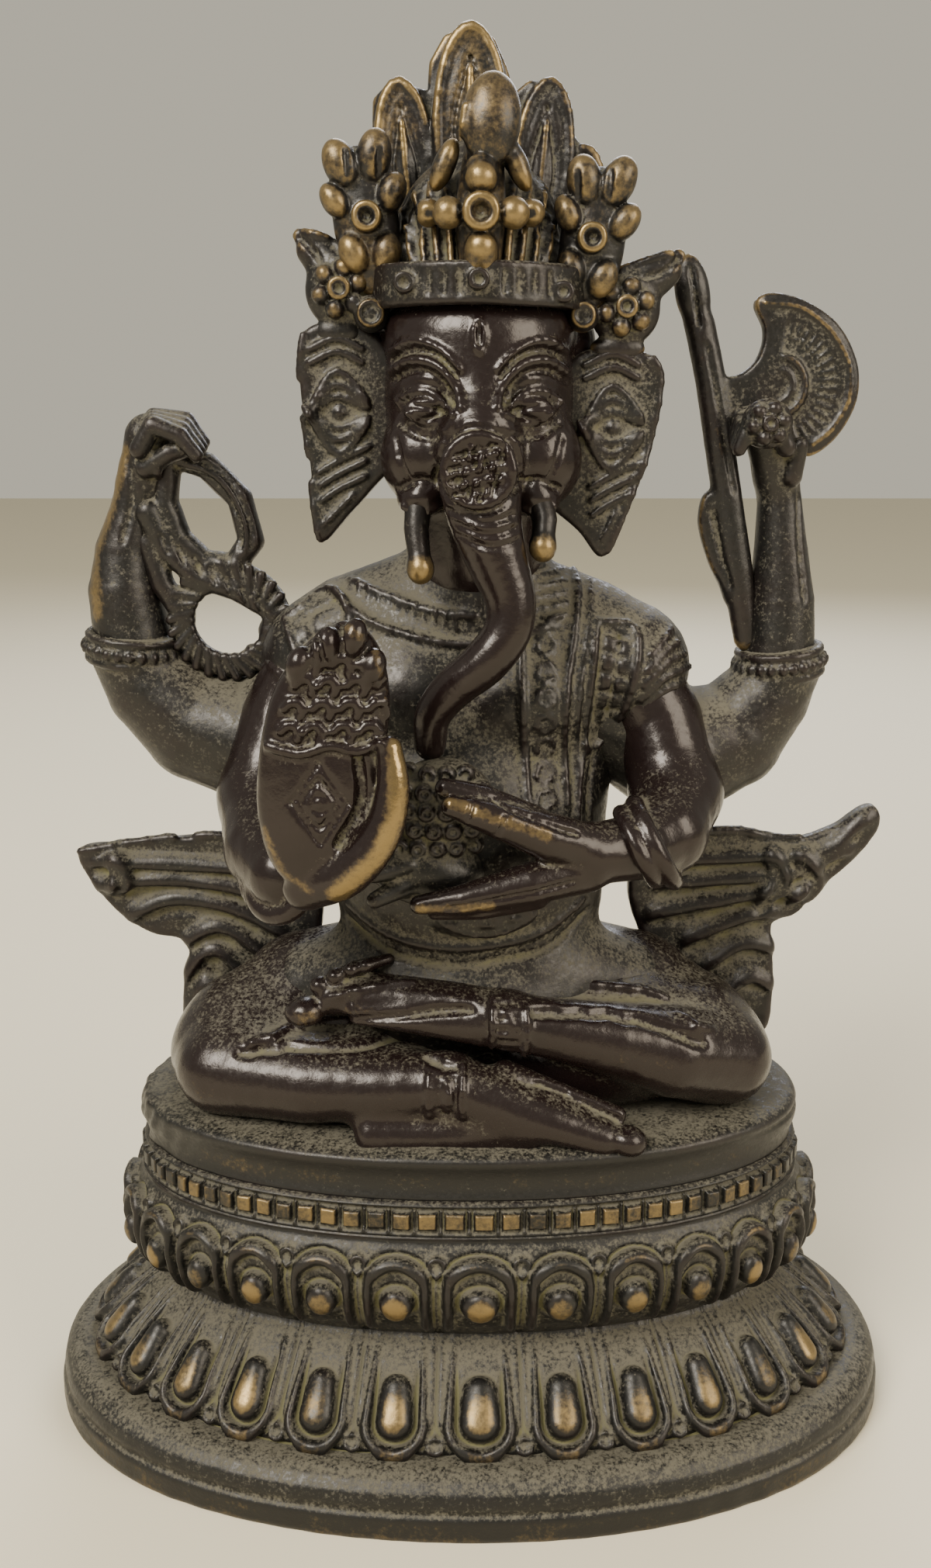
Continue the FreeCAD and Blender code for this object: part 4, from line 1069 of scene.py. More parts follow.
        # the cloth over the back, and the spine
        for shift in (-1.2, 1.2):
            clay.draw([(-12 + shift, 86), (-4 + shift, 79), (5 + shift, 70), (12 + shift, 60)],
                      0.4, 0.35, sign=-1)
        clay.draw([(0, 84), (0, 72), (0, 58)], 0.7, -0.35, sign=-1, soft=1.2)
        clay.draw([(-13, 52), (0, 50.4), (13, 52)], 0.5, 0.4, sign=-1)
        model("torso", clay, finish("body"), 0.06, 33)
        return {"FINISHED"}


# ---------------------------------------------------------------- head
TRUNK = [  # points down the trunk, each with its radius there
    ((0.9, -8.6, 104.5), 3.6), ((0.9, -10.8, 99.5), 4.0), ((1.3, -11.6, 94.8), 3.4),
    ((2.4, -12.0, 90.8), 2.8), ((3.7, -12.4, 87.2), 2.35), ((3.5, -12.8, 84.2), 2.2),
    ((1.5, -13.0, 81.4), 2.15), ((-1.4, -12.6, 78.9), 1.95), ((-3.4, -12.0, 76.2), 1.75),
    ((-3.7, -11.2, 73.2), 1.5),
]


class BRONZE_OT_head(bpy.types.Operator):
    """The elephant's head with brows, eyes, a hatched boss and the curled trunk"""
    bl_idname = "bronze.head"
    bl_label = "Head"

    def execute(self, context):
        clay = Clay((-11.5, -18.5, 70), (13.5, 8, 117), 0.25)
        clay.join(egg((0.9, -2.6, 105), (9.0, 8.4, 10.4)), 1)
        clay.join(egg((0.9, -5.4, 107.5), (7.6, 6.0, 6.4)), 2)
        clay.join(egg((0.9, -2.4, 110.8), (9.2, 8.6, 4.6)), 1.5)
        clay.join(egg((-7.6, -1.2, 109.5), (2.6, 2.4, 4.2)), 1)
        clay.join(egg((9.4, -1.2, 109.5), (2.6, 2.4, 4.2)), 1)
        clay.join(egg((-3.9, -6.0, 99.6), (4.4, 4.6, 4.8)), 1.5)
        clay.join(egg((6.1, -6.0, 99.4), (4.4, 4.6, 4.8)), 1.5)
        clay.join(rod(*bend(*zip(*TRUNK))), 0.9)
        clay.join(rod([(0.9, -1, 98), (0.8, 0, 90)], [6.2, 6.6]), 1.2)
        middle = 0.85
        for side in (-1, 1):
            def at(across, up, side=side):
                return (middle + side * across, up)
            # lip rings that the tusks come out of
            clay.join(egg((middle + side * 5.3, -7.8, 96.0), (2.3, 2.6, 1.9), turn_by(0, side * 12, 0)), 0.5)
            clay.draw([at(3.2, 96.8), at(5.2, 97.7), at(7.4, 96.7)], 0.35, -0.35)
            clay.draw([at(3.4, 95.4), at(5.4, 94.6), at(7.2, 95.4)], 0.4, 0.4)
            # sockets, lids and eyeballs
            clay.carve(egg((middle + side * 4.9, -11.4, 104.4), (3.0, 1.3, 1.9), turn_by(0, side * 14, 0)),
                       0.9)
            clay.join(egg((middle + side * 4.8, -9.6, 104.0), (2.1, 1.4, 1.15), turn_by(0, side * 14, 0)),
                      0.4)
            clay.draw([at(2.3, 103.4), at(4.0, 105.2), at(5.8, 105.4), at(7.5, 104.6)], 0.3, 0.42)
            clay.draw([at(2.3, 103.4), at(4.3, 102.6), at(6.0, 103.1), at(7.5, 104.6)], 0.28, 0.34)
            clay.draw([at(2.9, 103.6), at(4.4, 104.0), at(6.4, 104.2)], 0.2, -0.3)
            clay.draw([at(1.9, 102.6), at(3.6, 101.4), at(5.6, 101.6), at(7.4, 102.8)], 0.3, -0.24)
            # two arched brow lines that fall to the root of the trunk
            clay.draw([at(8.0, 107.2), at(6.2, 108.1), at(3.8, 107.7), at(2.0, 105.8), at(1.5, 103.6)],
                      0.42, 0.5)
            clay.draw([at(8.1, 109.0), at(6.0, 109.9), at(3.4, 109.0), at(1.4, 107.0)], 0.32, 0.3)
            clay.draw([at(8.0, 108.2), at(6.0, 109.0), at(3.6, 108.4), at(1.7, 106.4)], 0.28, -0.3)
            clay.draw([at(8.2, 106.3), at(6.0, 107.2), at(4.0, 106.8), at(2.6, 105.4)], 0.28, -0.28)
            # cheek line down to the lip
            clay.draw([at(2.2, 101.8), at(3.4, 99.8), at(3.9, 97.6)], 0.35, -0.4)
            clay.draw([at(7.6, 101.4), at(7.0, 99.0), at(6.4, 97.8)], 0.3, -0.2)
        # mark on the brow
        clay.draw([(0.85, 111.6), (1.35, 110.2), (0.85, 108.6), (0.35, 110.2)], 0.2, 0.26, closed=True)
        clay.draw([(0.85, 111.2), (0.85, 109.0)], 0.16, -0.2)
        # hatched round boss on the trunk's root
        boss = clay.meet(np.array([[0.8, 98.6]]))[0]
        clay.join(egg(boss + [0, 0.5, 0], (3.4, 1.7, 3.4)), 0.25)
        for radius, width, height in ((3.0, 0.42, 0.5), (3.75, 0.3, -0.3)):
            clay.draw(arc(0.8, 98.6, radius, radius, CIRCLE), width, height)
        for shift in (-1.6, -0.5, 0.6, 1.7):
            half = math.sqrt(2.6 ** 2 - shift ** 2)
            clay.draw([(0.8 + shift - 0.5, 98.6 - half), (0.8 + shift + 0.5, 98.6 + half)], 0.24, -0.38)
            clay.draw([(0.8 - half, 98.6 + shift - 0.5), (0.8 + half, 98.6 + shift + 0.5)], 0.24, -0.38)
        # rings of skin round the trunk below the boss
        for up, across in ((94.6, 1.4), (93.5, 1.7), (92.4, 2.0)):
            clay.draw([(across - 3.3, up + 0.5), (across, up - 0.5), (across + 3.3, up + 0.3)], 0.3, -0.22)
        # cloth and hair behind
        for shift in np.linspace(-6.6, 8.4, 7):
            clay.draw([(shift, 113), (shift * 1.05, 104), (shift * 0.9, 96)], 0.45, -0.35, sign=-1)
        model("head", clay, finish("face"), 0.03, 34)
        return {"FINISHED"}


EARS = {
    "right": [(-8.2, 110.2), (-11.6, 111.9), (-15.4, 110.9), (-15.9, 106.5), (-15.3, 101.0), (-14.9, 96),
              (-14.3, 91.5), (-11.2, 94.4), (-8.0, 97.8), (-5.4, 99.4), (-5.2, 105)],
    "left": [(9.4, 108.4), (12.6, 109.6), (17.0, 108.8), (17.9, 106.4), (16.9, 100.5), (15.2, 95.5),
             (13.0, 90.1), (10.4, 92.6), (7.4, 95.4), (6.6, 99), (7.0, 105)],
}


class BRONZE_OT_ears(bpy.types.Operator):
    """Flat ears that end in a point, each with curved folds round an eye-shaped middle"""
    bl_idname = "bronze.ears"
    bl_label = "Ears"

    def execute(self, context):
        for label, side, centre in (("right", -1, (-12.3, 103.6)), ("left", 1, (13.4, 102.2))):
            outline = EARS[label]
            across = [x for x, z in outline]
            low_y, high_y = -4.2, -2.0
            clay = Clay((min(across) - 1.5, -8, 88.5), (max(across) + 1.5, 2.5, 114), 0.25)
            clay.join(slab(outline, low_y, high_y, 0.5), 0.3)
            x0, z0 = centre
            for grow, height in ((1.0, 0.34), (1.75, 0.42), (2.6, 0.4)):
                for up in (1, -1):
                    clay.draw([(x0 - 2.1 - grow * 0.4, z0 - 0.2 * up * grow),
                               (x0 - 0.6, z0 + up * grow * 1.35), (x0 + 1.0, z0 + up * grow * 1.2),
                               (x0 + 2.4 + grow * 0.2, z0 + up * grow * 0.3)], 0.36, height)
            clay.dot((x0 + 0.1, z0), 0.8, 0.35)
            for up in (4.8, 6.0):
                clay.draw([(x0 - 2.6, z0 + up - 0.3), (x0, z0 + up + 0.7), (x0 + 2.6, z0 + up - 0.4)],
                          0.36, 0.4)
            for up in (4.6, 5.8, 7.2):
                clay.draw([(x0 - 2.4 + up * 0.1, z0 - up - 0.9), (x0, z0 - up + 0.2),
                           (x0 + 2.8, z0 - up + 1.5)], 0.34, 0.36)
            clay.draw([(x0 + (-1.6 if side < 0 else -0.6), z0 - 10.4),
                       (x0 + (1.2 if side < 0 else 0.6), z0 - 7.6)], 0.3, 0.3)
            clay.draw([(x, z) for x, z in outline[2:7]], 0.4, 0.3)
            for up in (5.5, 1.5, -3.0):
                clay.draw([(x0 - 3, z0 + up), (x0, z0 + up + 1), (x0 + 3, z0 + up)], 0.5, -0.3, sign=-1)
            model(label + "_ear", clay, finish("body"), 0.05, 41)
        return {"FINISHED"}


class BRONZE_OT_tusks(bpy.types.Operator):
    """The tusks, worn bright at their round tips"""
    bl_idname = "bronze.tusks"
    bl_label = "Tusks"

    def execute(self, context):
        for label, path in (("right", [(-4.6, -8.6, 96.4), (-4.9, -9.6, 93.2), (-4.5, -10.6, 89.6)]),
                            ("left", [(6.3, -8.6, 96.2), (6.9, -9.8, 94.0), (6.7, -10.8, 91.6)])):
            low, high = np.min(path, axis=0) - 3, np.max(path, axis=0) + 3
            clay = Clay(low, high, 0.2)
            clay.join(rod(path, [1.35, 1.15, 1.0]), 0.3)
            clay.join(egg(path[-1], (1.25, 1.25, 1.4)), 0.5)
            clay.rub([(x, z) for x, y, z in path[2:]] * 2, 2.6, 0.8)
            model(label + "_tusk", clay, finish("crown"), 0.03, 42)
        return {"FINISHED"}


# ---------------------------------------------------------------- crown
def flower(clay, across, up, size, petals, turn=0.0):
    """A raised flower on the clay as seen from the front: a ring round a dimple, and round petals."""
    place = clay.meet(np.array([[across, up]]))
    if not len(place):
        return
    base = place[0]
    for number in range(petals):
        angle = turn + 2 * math.pi * number / petals
        spot = base + [math.cos(angle) * size * 1.45, 0.1, math.sin(angle) * size * 1.45]
        clay.join(egg(spot, (size * 0.72, size * 0.75, size * 0.72)), 0.2)
    clay.join(egg(base, (size * 0.85, size * 0.8, size * 0.85)), 0.15)
    clay.join(hoop(base - [0, size * 0.62, 0], size * 0.62, size * 0.24, turn_by(90, 0, 0)), 0.1)
    clay.carve(egg(base - [0, size * 0.95, 0], (size * 0.4, size * 0.6, size * 0.4)), 0.12)


class BRONZE_OT_crown_band(bpy.types.Operator):
    """The band round the brow, set with ringed studs"""
    bl_idname = "bronze.crown_band"
    bl_label = "Crown band"

    def execute(self, context):
        clay = Clay((-12.5, -14.5, 110), (14.5, 10.5, 119), 0.25)

        def oval(x, y, wide, deep):
            return np.sqrt(((x - 0.9) / wide) ** 2 + ((y + 1.6) / deep) ** 2)

        def band(x, y, z):
            wall = np.abs(oval(x, y, 9.5, 9.4) - 1) * 10 - 1.0
            tilt = z - 114.6 + 0.02 * (x - 0.9)
            return np.maximum(wall, np.abs(tilt) - 1.75)
        clay.join((band, (-11, -13, 112), (13, 10, 117.5)), 0.3)
        for up in (113.1, 116.1):
            def cord(x, y, z, up=up):
                return np.sqrt((np.abs(oval(x, y, 9.9, 9.8) - 1) * 9.8) ** 2 + (z - up) ** 2) - 0.4
            clay.join((cord, (-11.5, -13.5, up - 1), (13.5, 10.5, up + 1)), 0.2)
        for across, up in ((-5.8, 114.7), (0.8, 114.8), (8.4, 114.0)):
            flower(clay, across, up, 1.15, 0)
        for across in np.arange(-3.6, 8, 1.35):
            if abs(across - 0.8) > 1.6:
                clay.draw([(across, 115.4), (across, 113.8)], 0.25, -0.25)
        model("crown_band", clay, finish("body"), 0.06, 51)
        return {"FINISHED"}


class BRONZE_OT_crown_cap(bpy.types.Operator):
    """The heaped hair inside the crown, combed into upright locks and leaves"""
    bl_idname = "bronze.crown_cap"
    bl_label = "Crown cap"

    def execute(self, context):
        clay = Clay((-11, -13, 110), (13, 10, 131), 0.28)
        clay.join(rod([(0.9, -1.4, 113), (0.9, -0.6, 119), (0.9, 1.2, 124)], [8.6, 8.0, 4.6], (1, 1.06, 1)),
                  1)
        clay.join(rod([(0.9, -5.6, 115), (0.9, -5.0, 119.6), (0.9, -2.4, 125)], [4.6, 4.2, 2.8]), 2)
        for across in np.linspace(-8.0, 9.8, 15):
            spread = (across - 0.9) * 0.18
            top = 124.6 - 0.045 * (across - 0.9) ** 2
            clay.draw([(across * 0.93, 115.6), (across, 118.6), (across + spread, top)], 0.4, 0.45)
        for across in np.linspace(-7.4, 9.2, 14):
            clay.draw([(across * 0.93, 116.0), (across, 119), (across * 1.08, 122.5)], 0.26, -0.3)
        for across in np.linspace(-7, 9, 9):
            clay.draw([(across, 115), (across * 0.9, 120), (across * 0.6 + 0.4, 125)], 0.45, -0.45, sign=-1)
        for deep in np.linspace(-7, 6, 8):
            for sign in (-1, 1):
                clay.draw([(deep, 115), (deep * 0.9, 120), (deep * 0.7, 124)], 0.4, -0.4, axis=0, sign=sign)
        model("crown_cap", clay, finish("crown"), 0.06, 52)
        return {"FINISHED"}


FAN_LEAVES = [  # middle of each leaf (across, up), half width, half height, lean in degrees, depth
    ((-8.2, 121.6), 2.9, 7.6, -12, 4.2), ((9.7, 121.2), 2.9, 7.6, 12, 4.2),
    ((-6.0, 125.6), 3.0, 9.0, -5, 3.8), ((6.9, 125.6), 3.0, 9.0, 5, 3.8),
    ((0.1, 129.2), 3.7, 10.1, 0, 3.2),
]
FAN_EDGE = [(-9.6, 113), (-10.8, 120), (-10.5, 125.7), (-9.3, 129.2), (-9.2, 132.6), (-7.5, 134.3),
            (-5.5, 133.8), (-4.0, 133.4), (-3.8, 135.9), (-2.4, 138.2), (0, 139.2), (2.4, 138.0),
            (3.7, 135.2), (4.2, 133.2), (5.6, 134.3), (7.5, 134.2), (9.2, 132.6), (10.0, 129.6),
            (11.2, 127.8), (12.0, 124), (11.6, 118), (10.6, 113)]


class BRONZE_OT_crown_fan(bpy.types.Operator):
    """Five rimmed leaves that stand in a fan behind the crown"""
    bl_idname = "bronze.crown_fan"
    bl_label = "Crown fan"

    def execute(self, context):
        clay = Clay((-12.5, 0.5, 112.5), (14, 7.5, 141), 0.25)
        clay.join(slab(FAN_EDGE, 4.4, 5.8, 0.5, False), 0.2)
        for (across, up), wide, tall, lean, deep in FAN_LEAVES:
            turned = turn_by(0, lean, 0)
            clay.join(egg((across, deep + 0.6, up), (wide, 1.25, tall), turned), 0.25)

            def at(x, z, across=across, up=up, turned=turned):
                spot = turned @ np.array([x, 0, z])
                return (across + spot[0], up + spot[2])
            rim = [at(wide * x, tall * z) for x, z in ((-0.8, -0.3), (-0.82, 0.25), (-0.55, 0.72), (0, 0.93),
                                                       (0.55, 0.72), (0.82, 0.25), (0.8, -0.3))]
            clay.draw(rim, 0.5, 0.42)
            for half in (-wide, wide):
                clay.draw([at(0, tall * 0.66), at(half * 0.4, tall * 0.1), at(half * 0.3, -tall * 0.4)],
                          0.22, -0.3)
            clay.draw([at(0, tall * 0.62), at(0, -tall * 0.5)], 0.3, 0.3)
            clay.draw([at(0, tall * 0.8), at(0, -tall * 0.7)], 0.4, -0.35, sign=-1)
            clay.draw(rim, 0.4, 0.3, sign=-1)
        clay.rub([(0.4, 126), (0.4, 139)], 8, 0.6)
        clay.rub([(-7.6, 125), (-7.0, 132)], 6, 0.5)
        model("crown_fan", clay, finish("crown"), 0.05, 53)
        return {"FINISHED"}


class BRONZE_OT_plaques(bpy.types.Operator):
    """The jewelled leaves on the crown's front and sides"""
    bl_idname = "bronze.plaques"
    bl_label = "Crown plaques"

    def execute(self, context):
        clay = Clay((-4.6, -15.5, 113), (7, -4, 133), 0.22)
        clay.join(rod([(0.9, -9.6, 116), (1.0, -9.2, 121), (1.3, -7.4, 127)], [1.9, 2.3, 1.6]), 0.5)
        clay.join(egg((1.9, -9.4, 128.2), (2.6, 2.0, 4.0), turn_by(-8, 4, 0)), 0.3)
        clay.draw([(-0.7, 126.0), (-0.3, 129.0)], 0.4, 0.3)
        flower(clay, 1.0, 120.3, 1.95, 4)
        clay.join(egg((1.0, -10.6, 123.4), (1.55, 1.4, 1.9)), 0.2)
        clay.join(egg((1.0, -11.0, 117.0), (1.5, 1.4, 1.9)), 0.2)
        for across in (-3.6, 5.5):
            clay.join(egg((across, -9.0, 120.6), (1.2, 1.5, 1.2)), 0.2)
            clay.dot((across, 120.4), 0.5, -0.25)
        for across, lean in ((-2.2, 24), (4.2, -24)):
            clay.join(egg((across, -8.8, 124.6), (1.0, 1.3, 2.4), turn_by(0, lean, 0)), 0.3)
        clay.rub([(0.9, 116), (0.9, 134)], 12, 0.52)
        model("front_plaque", clay, finish("crown"), 0.03, 54)
        for label, side, middle, ring_up in (("right", -1, -9.4, 121.0), ("left", 1, 11.2, 119.2)):
            clay = Clay((middle - 5.5, -11, ring_up - 8), (middle + 5.5, 4, ring_up + 9), 0.22)
            lean = side * 8
            clay.join(egg((middle, -4.6, ring_up - 0.6), (3.0, 1.8, 6.6), turn_by(0, lean, 0)), 0.3)
            flower(clay, middle - side * 0.2, ring_up - 0.4, 1.6, 0)
            for dx, dz, wide, tall in ((-1.5, 4.4, 1.6, 2.3), (1.5, 4.7, 1.6, 2.4), (-2.5, 1.4, 1.2, 1.8),
                                       (2.6, 1.4, 1.3, 1.9), (-1.5, -3.2, 1.4, 1.9), (1.4, -3.6, 1.4, 1.9)):
                spot = turn_by(0, lean, 0) @ np.array([dx, 0, dz])
                clay.join(egg((middle + spot[0], -5.6, ring_up + spot[2]), (wide, 1.5, tall),
                              turn_by(0, lean + dx * 12, 0)), 0.18)
            for dx in (-1.6, 1.4):
                clay.draw([(middle + dx, ring_up + 5.2), (middle + dx * 0.9, ring_up + 3.2)], 0.2, -0.24)
            clay.rub([(-10.5, 112), (-12, 127)] if label == "right" else [(12, 112), (13, 127)], 11, 0.46)
            model(label + "_plaque", clay, finish("crown"), 0.04, 55)
        return {"FINISHED"}


class BRONZE_OT_ear_rosettes(bpy.types.Operator):
    """The flowers above the ears, each with a leaf that points up and out"""
    bl_idname = "bronze.ear_rosettes"
    bl_label = "Ear rosettes"

    def execute(self, context):
        for label, side, centre, leaf in (("right", -1, (-11.9, 114.6), (-14.3, 118.2)),
                                          ("left", 1, (14.4, 113.0), (18.0, 116.4))):
            x0, z0 = centre
            clay = Clay((x0 - 7, -9, z0 - 6.5), (x0 + 7, 3, z0 + 8), 0.22)
            clay.join(egg((x0, -3.6, z0), (3.3, 1.6, 3.5)), 0.3)
            clay.join(rod([(x0, -3.4, z0 + 1), (leaf[0], -3.2, leaf[1]),
                           (leaf[0] + side * 1.3, -3.0, leaf[1] + 1.2)], [2.4, 1.7, 0.7], (1, 1.4, 1)), 0.5)
            flower(clay, x0, z0, 1.25, 6, 0.3)
            clay.draw([(x0 + side * 1.8, z0 + 2.6), (leaf[0], leaf[1] - 0.2),
                       (leaf[0] + side * 1.2, leaf[1] + 1.0)], 0.26, -0.34)
            clay.draw([(x0 - side * 0.4, z0 + 3.4), (leaf[0] - side * 1.2, leaf[1] + 0.9),
                       (leaf[0] + side * 0.8, leaf[1] + 1.5)], 0.36, 0.4)
            if label == "right":
                clay.join(egg((-9.0, -5.0, 112.4), (1.7, 1.4, 1.7)), 0.2)
                clay.join(hoop((-9.0, -6.3, 112.4), 1.0, 0.32, turn_by(90, 0, 0)), 0.1)
                clay.join(egg((-12.2, -3.6, 110.9), (2.3, 1.1, 1.4)), 0.3)
            else:
                clay.join(egg((10.4, -5.2, 112.2), (1.5, 1.3, 1.5)), 0.2)
                clay.join(hoop((10.4, -6.4, 112.2), 0.9, 0.3, turn_by(90, 0, 0)), 0.1)
                clay.join(egg((13.8, -3.6, 109.4), (2.6, 1.1, 1.3)), 0.3)
            model(label + "_ear_rosette", clay, finish("crown"), 0.04, 56)
        return {"FINISHED"}


# ---------------------------------------------------------------- arms
def beaded_band(clay, centre, radius, turn, beads=26, tube=0.75):
    """An armlet: two cords with a row of small beads between them."""
    centre = np.array(centre, float)
    axis = turn @ np.array([0, 0, 1.0])
    for shift in (-1.15, 1.15):
        clay.join(hoop(centre + axis * shift, radius, tube * 0.62, turn), 0.2)
    clay.join(hoop(centre, radius - 0.25, tube, turn), 0.3)
    for number in range(beads):
        angle = 2 * math.pi * number / beads
        reach = radius + 0.42
        spot = centre + turn @ np.array([math.cos(angle) * reach, math.sin(angle) * reach, 0])
        clay.join(egg(spot, (0.5, 0.5, 0.62)), 0.12)


class BRONZE_OT_rear_arms(bpy.types.Operator):
    """The two raised arms behind, with their armlets and bent hands"""
    bl_idname = "bronze.rear_arms"
    bl_label = "Rear arms"

    def execute(self, context):
        uppers = {
            "right": [((-13, 2, 76), 6.0), ((-21.5, 2.6, 70.6), 6.6), ((-28, 3, 72.2), 5.8),
                      ((-32.4, 3, 76.2), 4.9), ((-34.3, 3, 79.8), 4.4)],
            "left": [((13, 2, 75), 6.0), ((21.6, 2.6, 69.4), 6.8), ((27, 3, 71.2), 5.6),
                     ((30.4, 3, 75.2), 4.6), ((31.8, 3, 78.4), 4.2)],
        }
        for (label, chain), side in zip(uppers.items(), (-1, 1)):
            spots, radii = zip(*chain)
            clay = Clay(np.min(spots, axis=0) - 8, np.max(spots, axis=0) + 8, 0.3)
            clay.join(rod(spots, radii), 1)
            elbow = (-34.3, 3, 80.4) if side < 0 else (31.8, 3, 79.0)
            beaded_band(clay, elbow, 4.5 if side < 0 else 4.1, turn_by(4, side * -6, 0))
            for up in (66.5, 68.5):
                clay.draw([(side * 25, up), (side * 20, up + 1.5)], 0.4, -0.25)
            model(f"rear_{label}_arm", clay, finish("body"), 0.06, 61)
        clay = Clay((-41, -4.5, 78), (-22, 9, 106), 0.25)
        clay.join(rod([(-34.3, 3, 81), (-34.9, 3, 86), (-34.7, 3, 90), (-33.6, 3, 94), (-32.4, 2.8, 98)],
                      [4.0, 3.7, 3.0, 2.4, 2.2]), 0.8)
        clay.join(rod([(-32.8, 2.6, 97), (-31.6, 2.2, 101.2)], [2.1, 2.4], (1, 1.2, 1)), 0.8)
        for number in range(4):
            deep = 3.6 - number * 1.3
            clay.join(rod([(-32.0, deep, 100.2), (-31.2 + 0.2 * number, deep - 0.2, 103.2 - 0.25 * number),
                           (-28.0, deep - 0.4, 103.0 - 0.5 * number),
                           (-26.4, deep - 0.6, 100.8 - 0.4 * number)], [1.0, 0.95, 0.85, 0.7]), 0.15)
        clay.join(rod([(-31.6, 0.6, 98.4), (-29.2, 0, 99.8), (-27.2, 0.2, 100.2)], [1.1, 0.95, 0.75]), 0.25)
        clay.draw([(-33.6, 99.6), (-33.2, 95.4), (-34.4, 90.8)], 0.3, -0.2)
        clay.draw([(-30.4, 98.0), (-31.4, 94.6), (-31.6, 91)], 0.4, 0.3)
        clay.rub([(-37.2, 84), (-37.4, 90), (-35.6, 95), (-34.0, 100)], 2.0, 0.75)
        model("rear_right_forearm", clay, finish("body"), 0.05, 62)
        clay = Clay((24, -4.5, 77), (38, 9, 107), 0.25)
        clay.join(rod([(31.6, 3, 80), (31.7, 3, 85), (31.4, 3, 90), (31.0, 3, 95), (30.4, 2.8, 98.4)],
                      [3.7, 3.3, 2.7, 2.2, 2.1]), 0.8)
        clay.join(rod([(30.4, 2.4, 97.6), (29.4, 1.8, 101.6)], [2.1, 2.4], (1, 1.15, 1)), 0.8)
        for number in range(4):
            deep = 2.8 - number * 1.2
            clay.join(rod([(30.6, deep, 100.4), (29.4, deep - 0.3, 103.8 - 0.3 * number),
                           (26.6, deep - 0.4, 103.4 - 0.6 * number),
                           (26.0, deep - 0.4, 101.4 - 0.4 * number)], [1.0, 0.95, 0.85, 0.7]), 0.15)
        clay.join(rod([(31.6, 0.8, 97.6), (32.2, 0.2, 100.6)], [1.1, 0.8]), 0.25)
        clay.join(egg((28.6, -1.2, 102.6), (2.5, 1.2, 2.4)), 0.3)
        flower(clay, 28.6, 102.6, 1.0, 6, 0.2)
        clay.draw([(32.6, 96.0), (32.9, 90.0), (33.6, 85)], 0.3, -0.2)
        model("rear_left_forearm", clay, finish("body"), 0.05, 63)
        return {"FINISHED"}


class BRONZE_OT_noose(bpy.types.Operator):
    """The noose: plaited cord in an upper and a lower loop"""
    bl_idname = "bronze.noose"
    bl_label = "Noose"

    def execute(self, context):
        clay = Clay((-36, -3, 76), (-14, 7, 104), 0.24)
        lower = [(x, 2.0, z) for x, z in arc(-24.2, 83.3, 4.9, 4.7, np.linspace(0, 2 * math.pi, 25))]
        clay.join(rod(lower, [1.25] * len(lower)), 0.3)
        # the plait: short slanting strands laid round the loop
        angles = 2 * math.pi * np.arange(26) / 26
        for inner, outer in zip(arc(-24.2, 83.3, 3.9, 3.7, angles),
                                arc(-24.2, 83.3, 5.9, 5.7, angles + 0.22)):
            clay.join(rod([(inner[0], 1.0, inner[1]), (outer[0], 1.0, outer[1])], [0.52, 0.52]), 0.12)
        upper = [(-29.6, 2, 99.6), (-26.0, 2, 98.6), (-22.8, 2, 95.4), (-21.8, 2, 91.2), (-23.6, 2, 88.8),
                 (-26.6, 2, 89.2), (-29.0, 2, 91.4), (-30.2, 2, 95.0), (-29.6, 2, 99.0)]
        clay.join(rod(upper, [1.2, 1.3, 1.3, 1.3, 1.2, 1.2, 1.3, 1.3, 1.2], (1, 0.9, 1)), 0.3)
        for shift in (-0.55, 0.55):
            clay.draw([(-28.2 + shift, 98.8 + shift), (-24.6 + shift, 97.4 + shift * 0.6),
                       (-22.3 + shift, 93.4), (-22.2 + shift, 90.6)], 0.24, -0.26)
        # two cords that run down from the hand and cross to the shoulder
        clay.join(rod([(-31.8, 1.6, 94), (-30.2, 1.4, 90.4), (-27.6, 1.2, 87.8), (-23.4, 1.2, 86.2),
                       (-19.4, 1.4, 83.8)], [1.5, 1.2, 1.0, 0.9, 0.9]), 0.4)
        clay.join(rod([(-32.0, 1.8, 91), (-30.8, 1.6, 87), (-28.8, 1.6, 83.6)], [1.3, 1.2, 1.1]), 0.4)
        clay.join(rod([(-19.8, 2, 82.2), (-17.0, 2, 81.6)], [1.6, 1.9]), 0.5)
        clay.join(egg((-22.0, 1.4, 80.2), (0.8, 0.8, 0.8)), 0.2)
        for number in range(7):
            at = -30.4 + number * 1.55
            up = 91 - number * 1.05
            clay.draw([(at, up + 0.7), (at + 0.5, up - 0.8)], 0.2, -0.24)
        model("noose", clay, finish("body"), 0.05, 64)
        return {"FINISHED"}


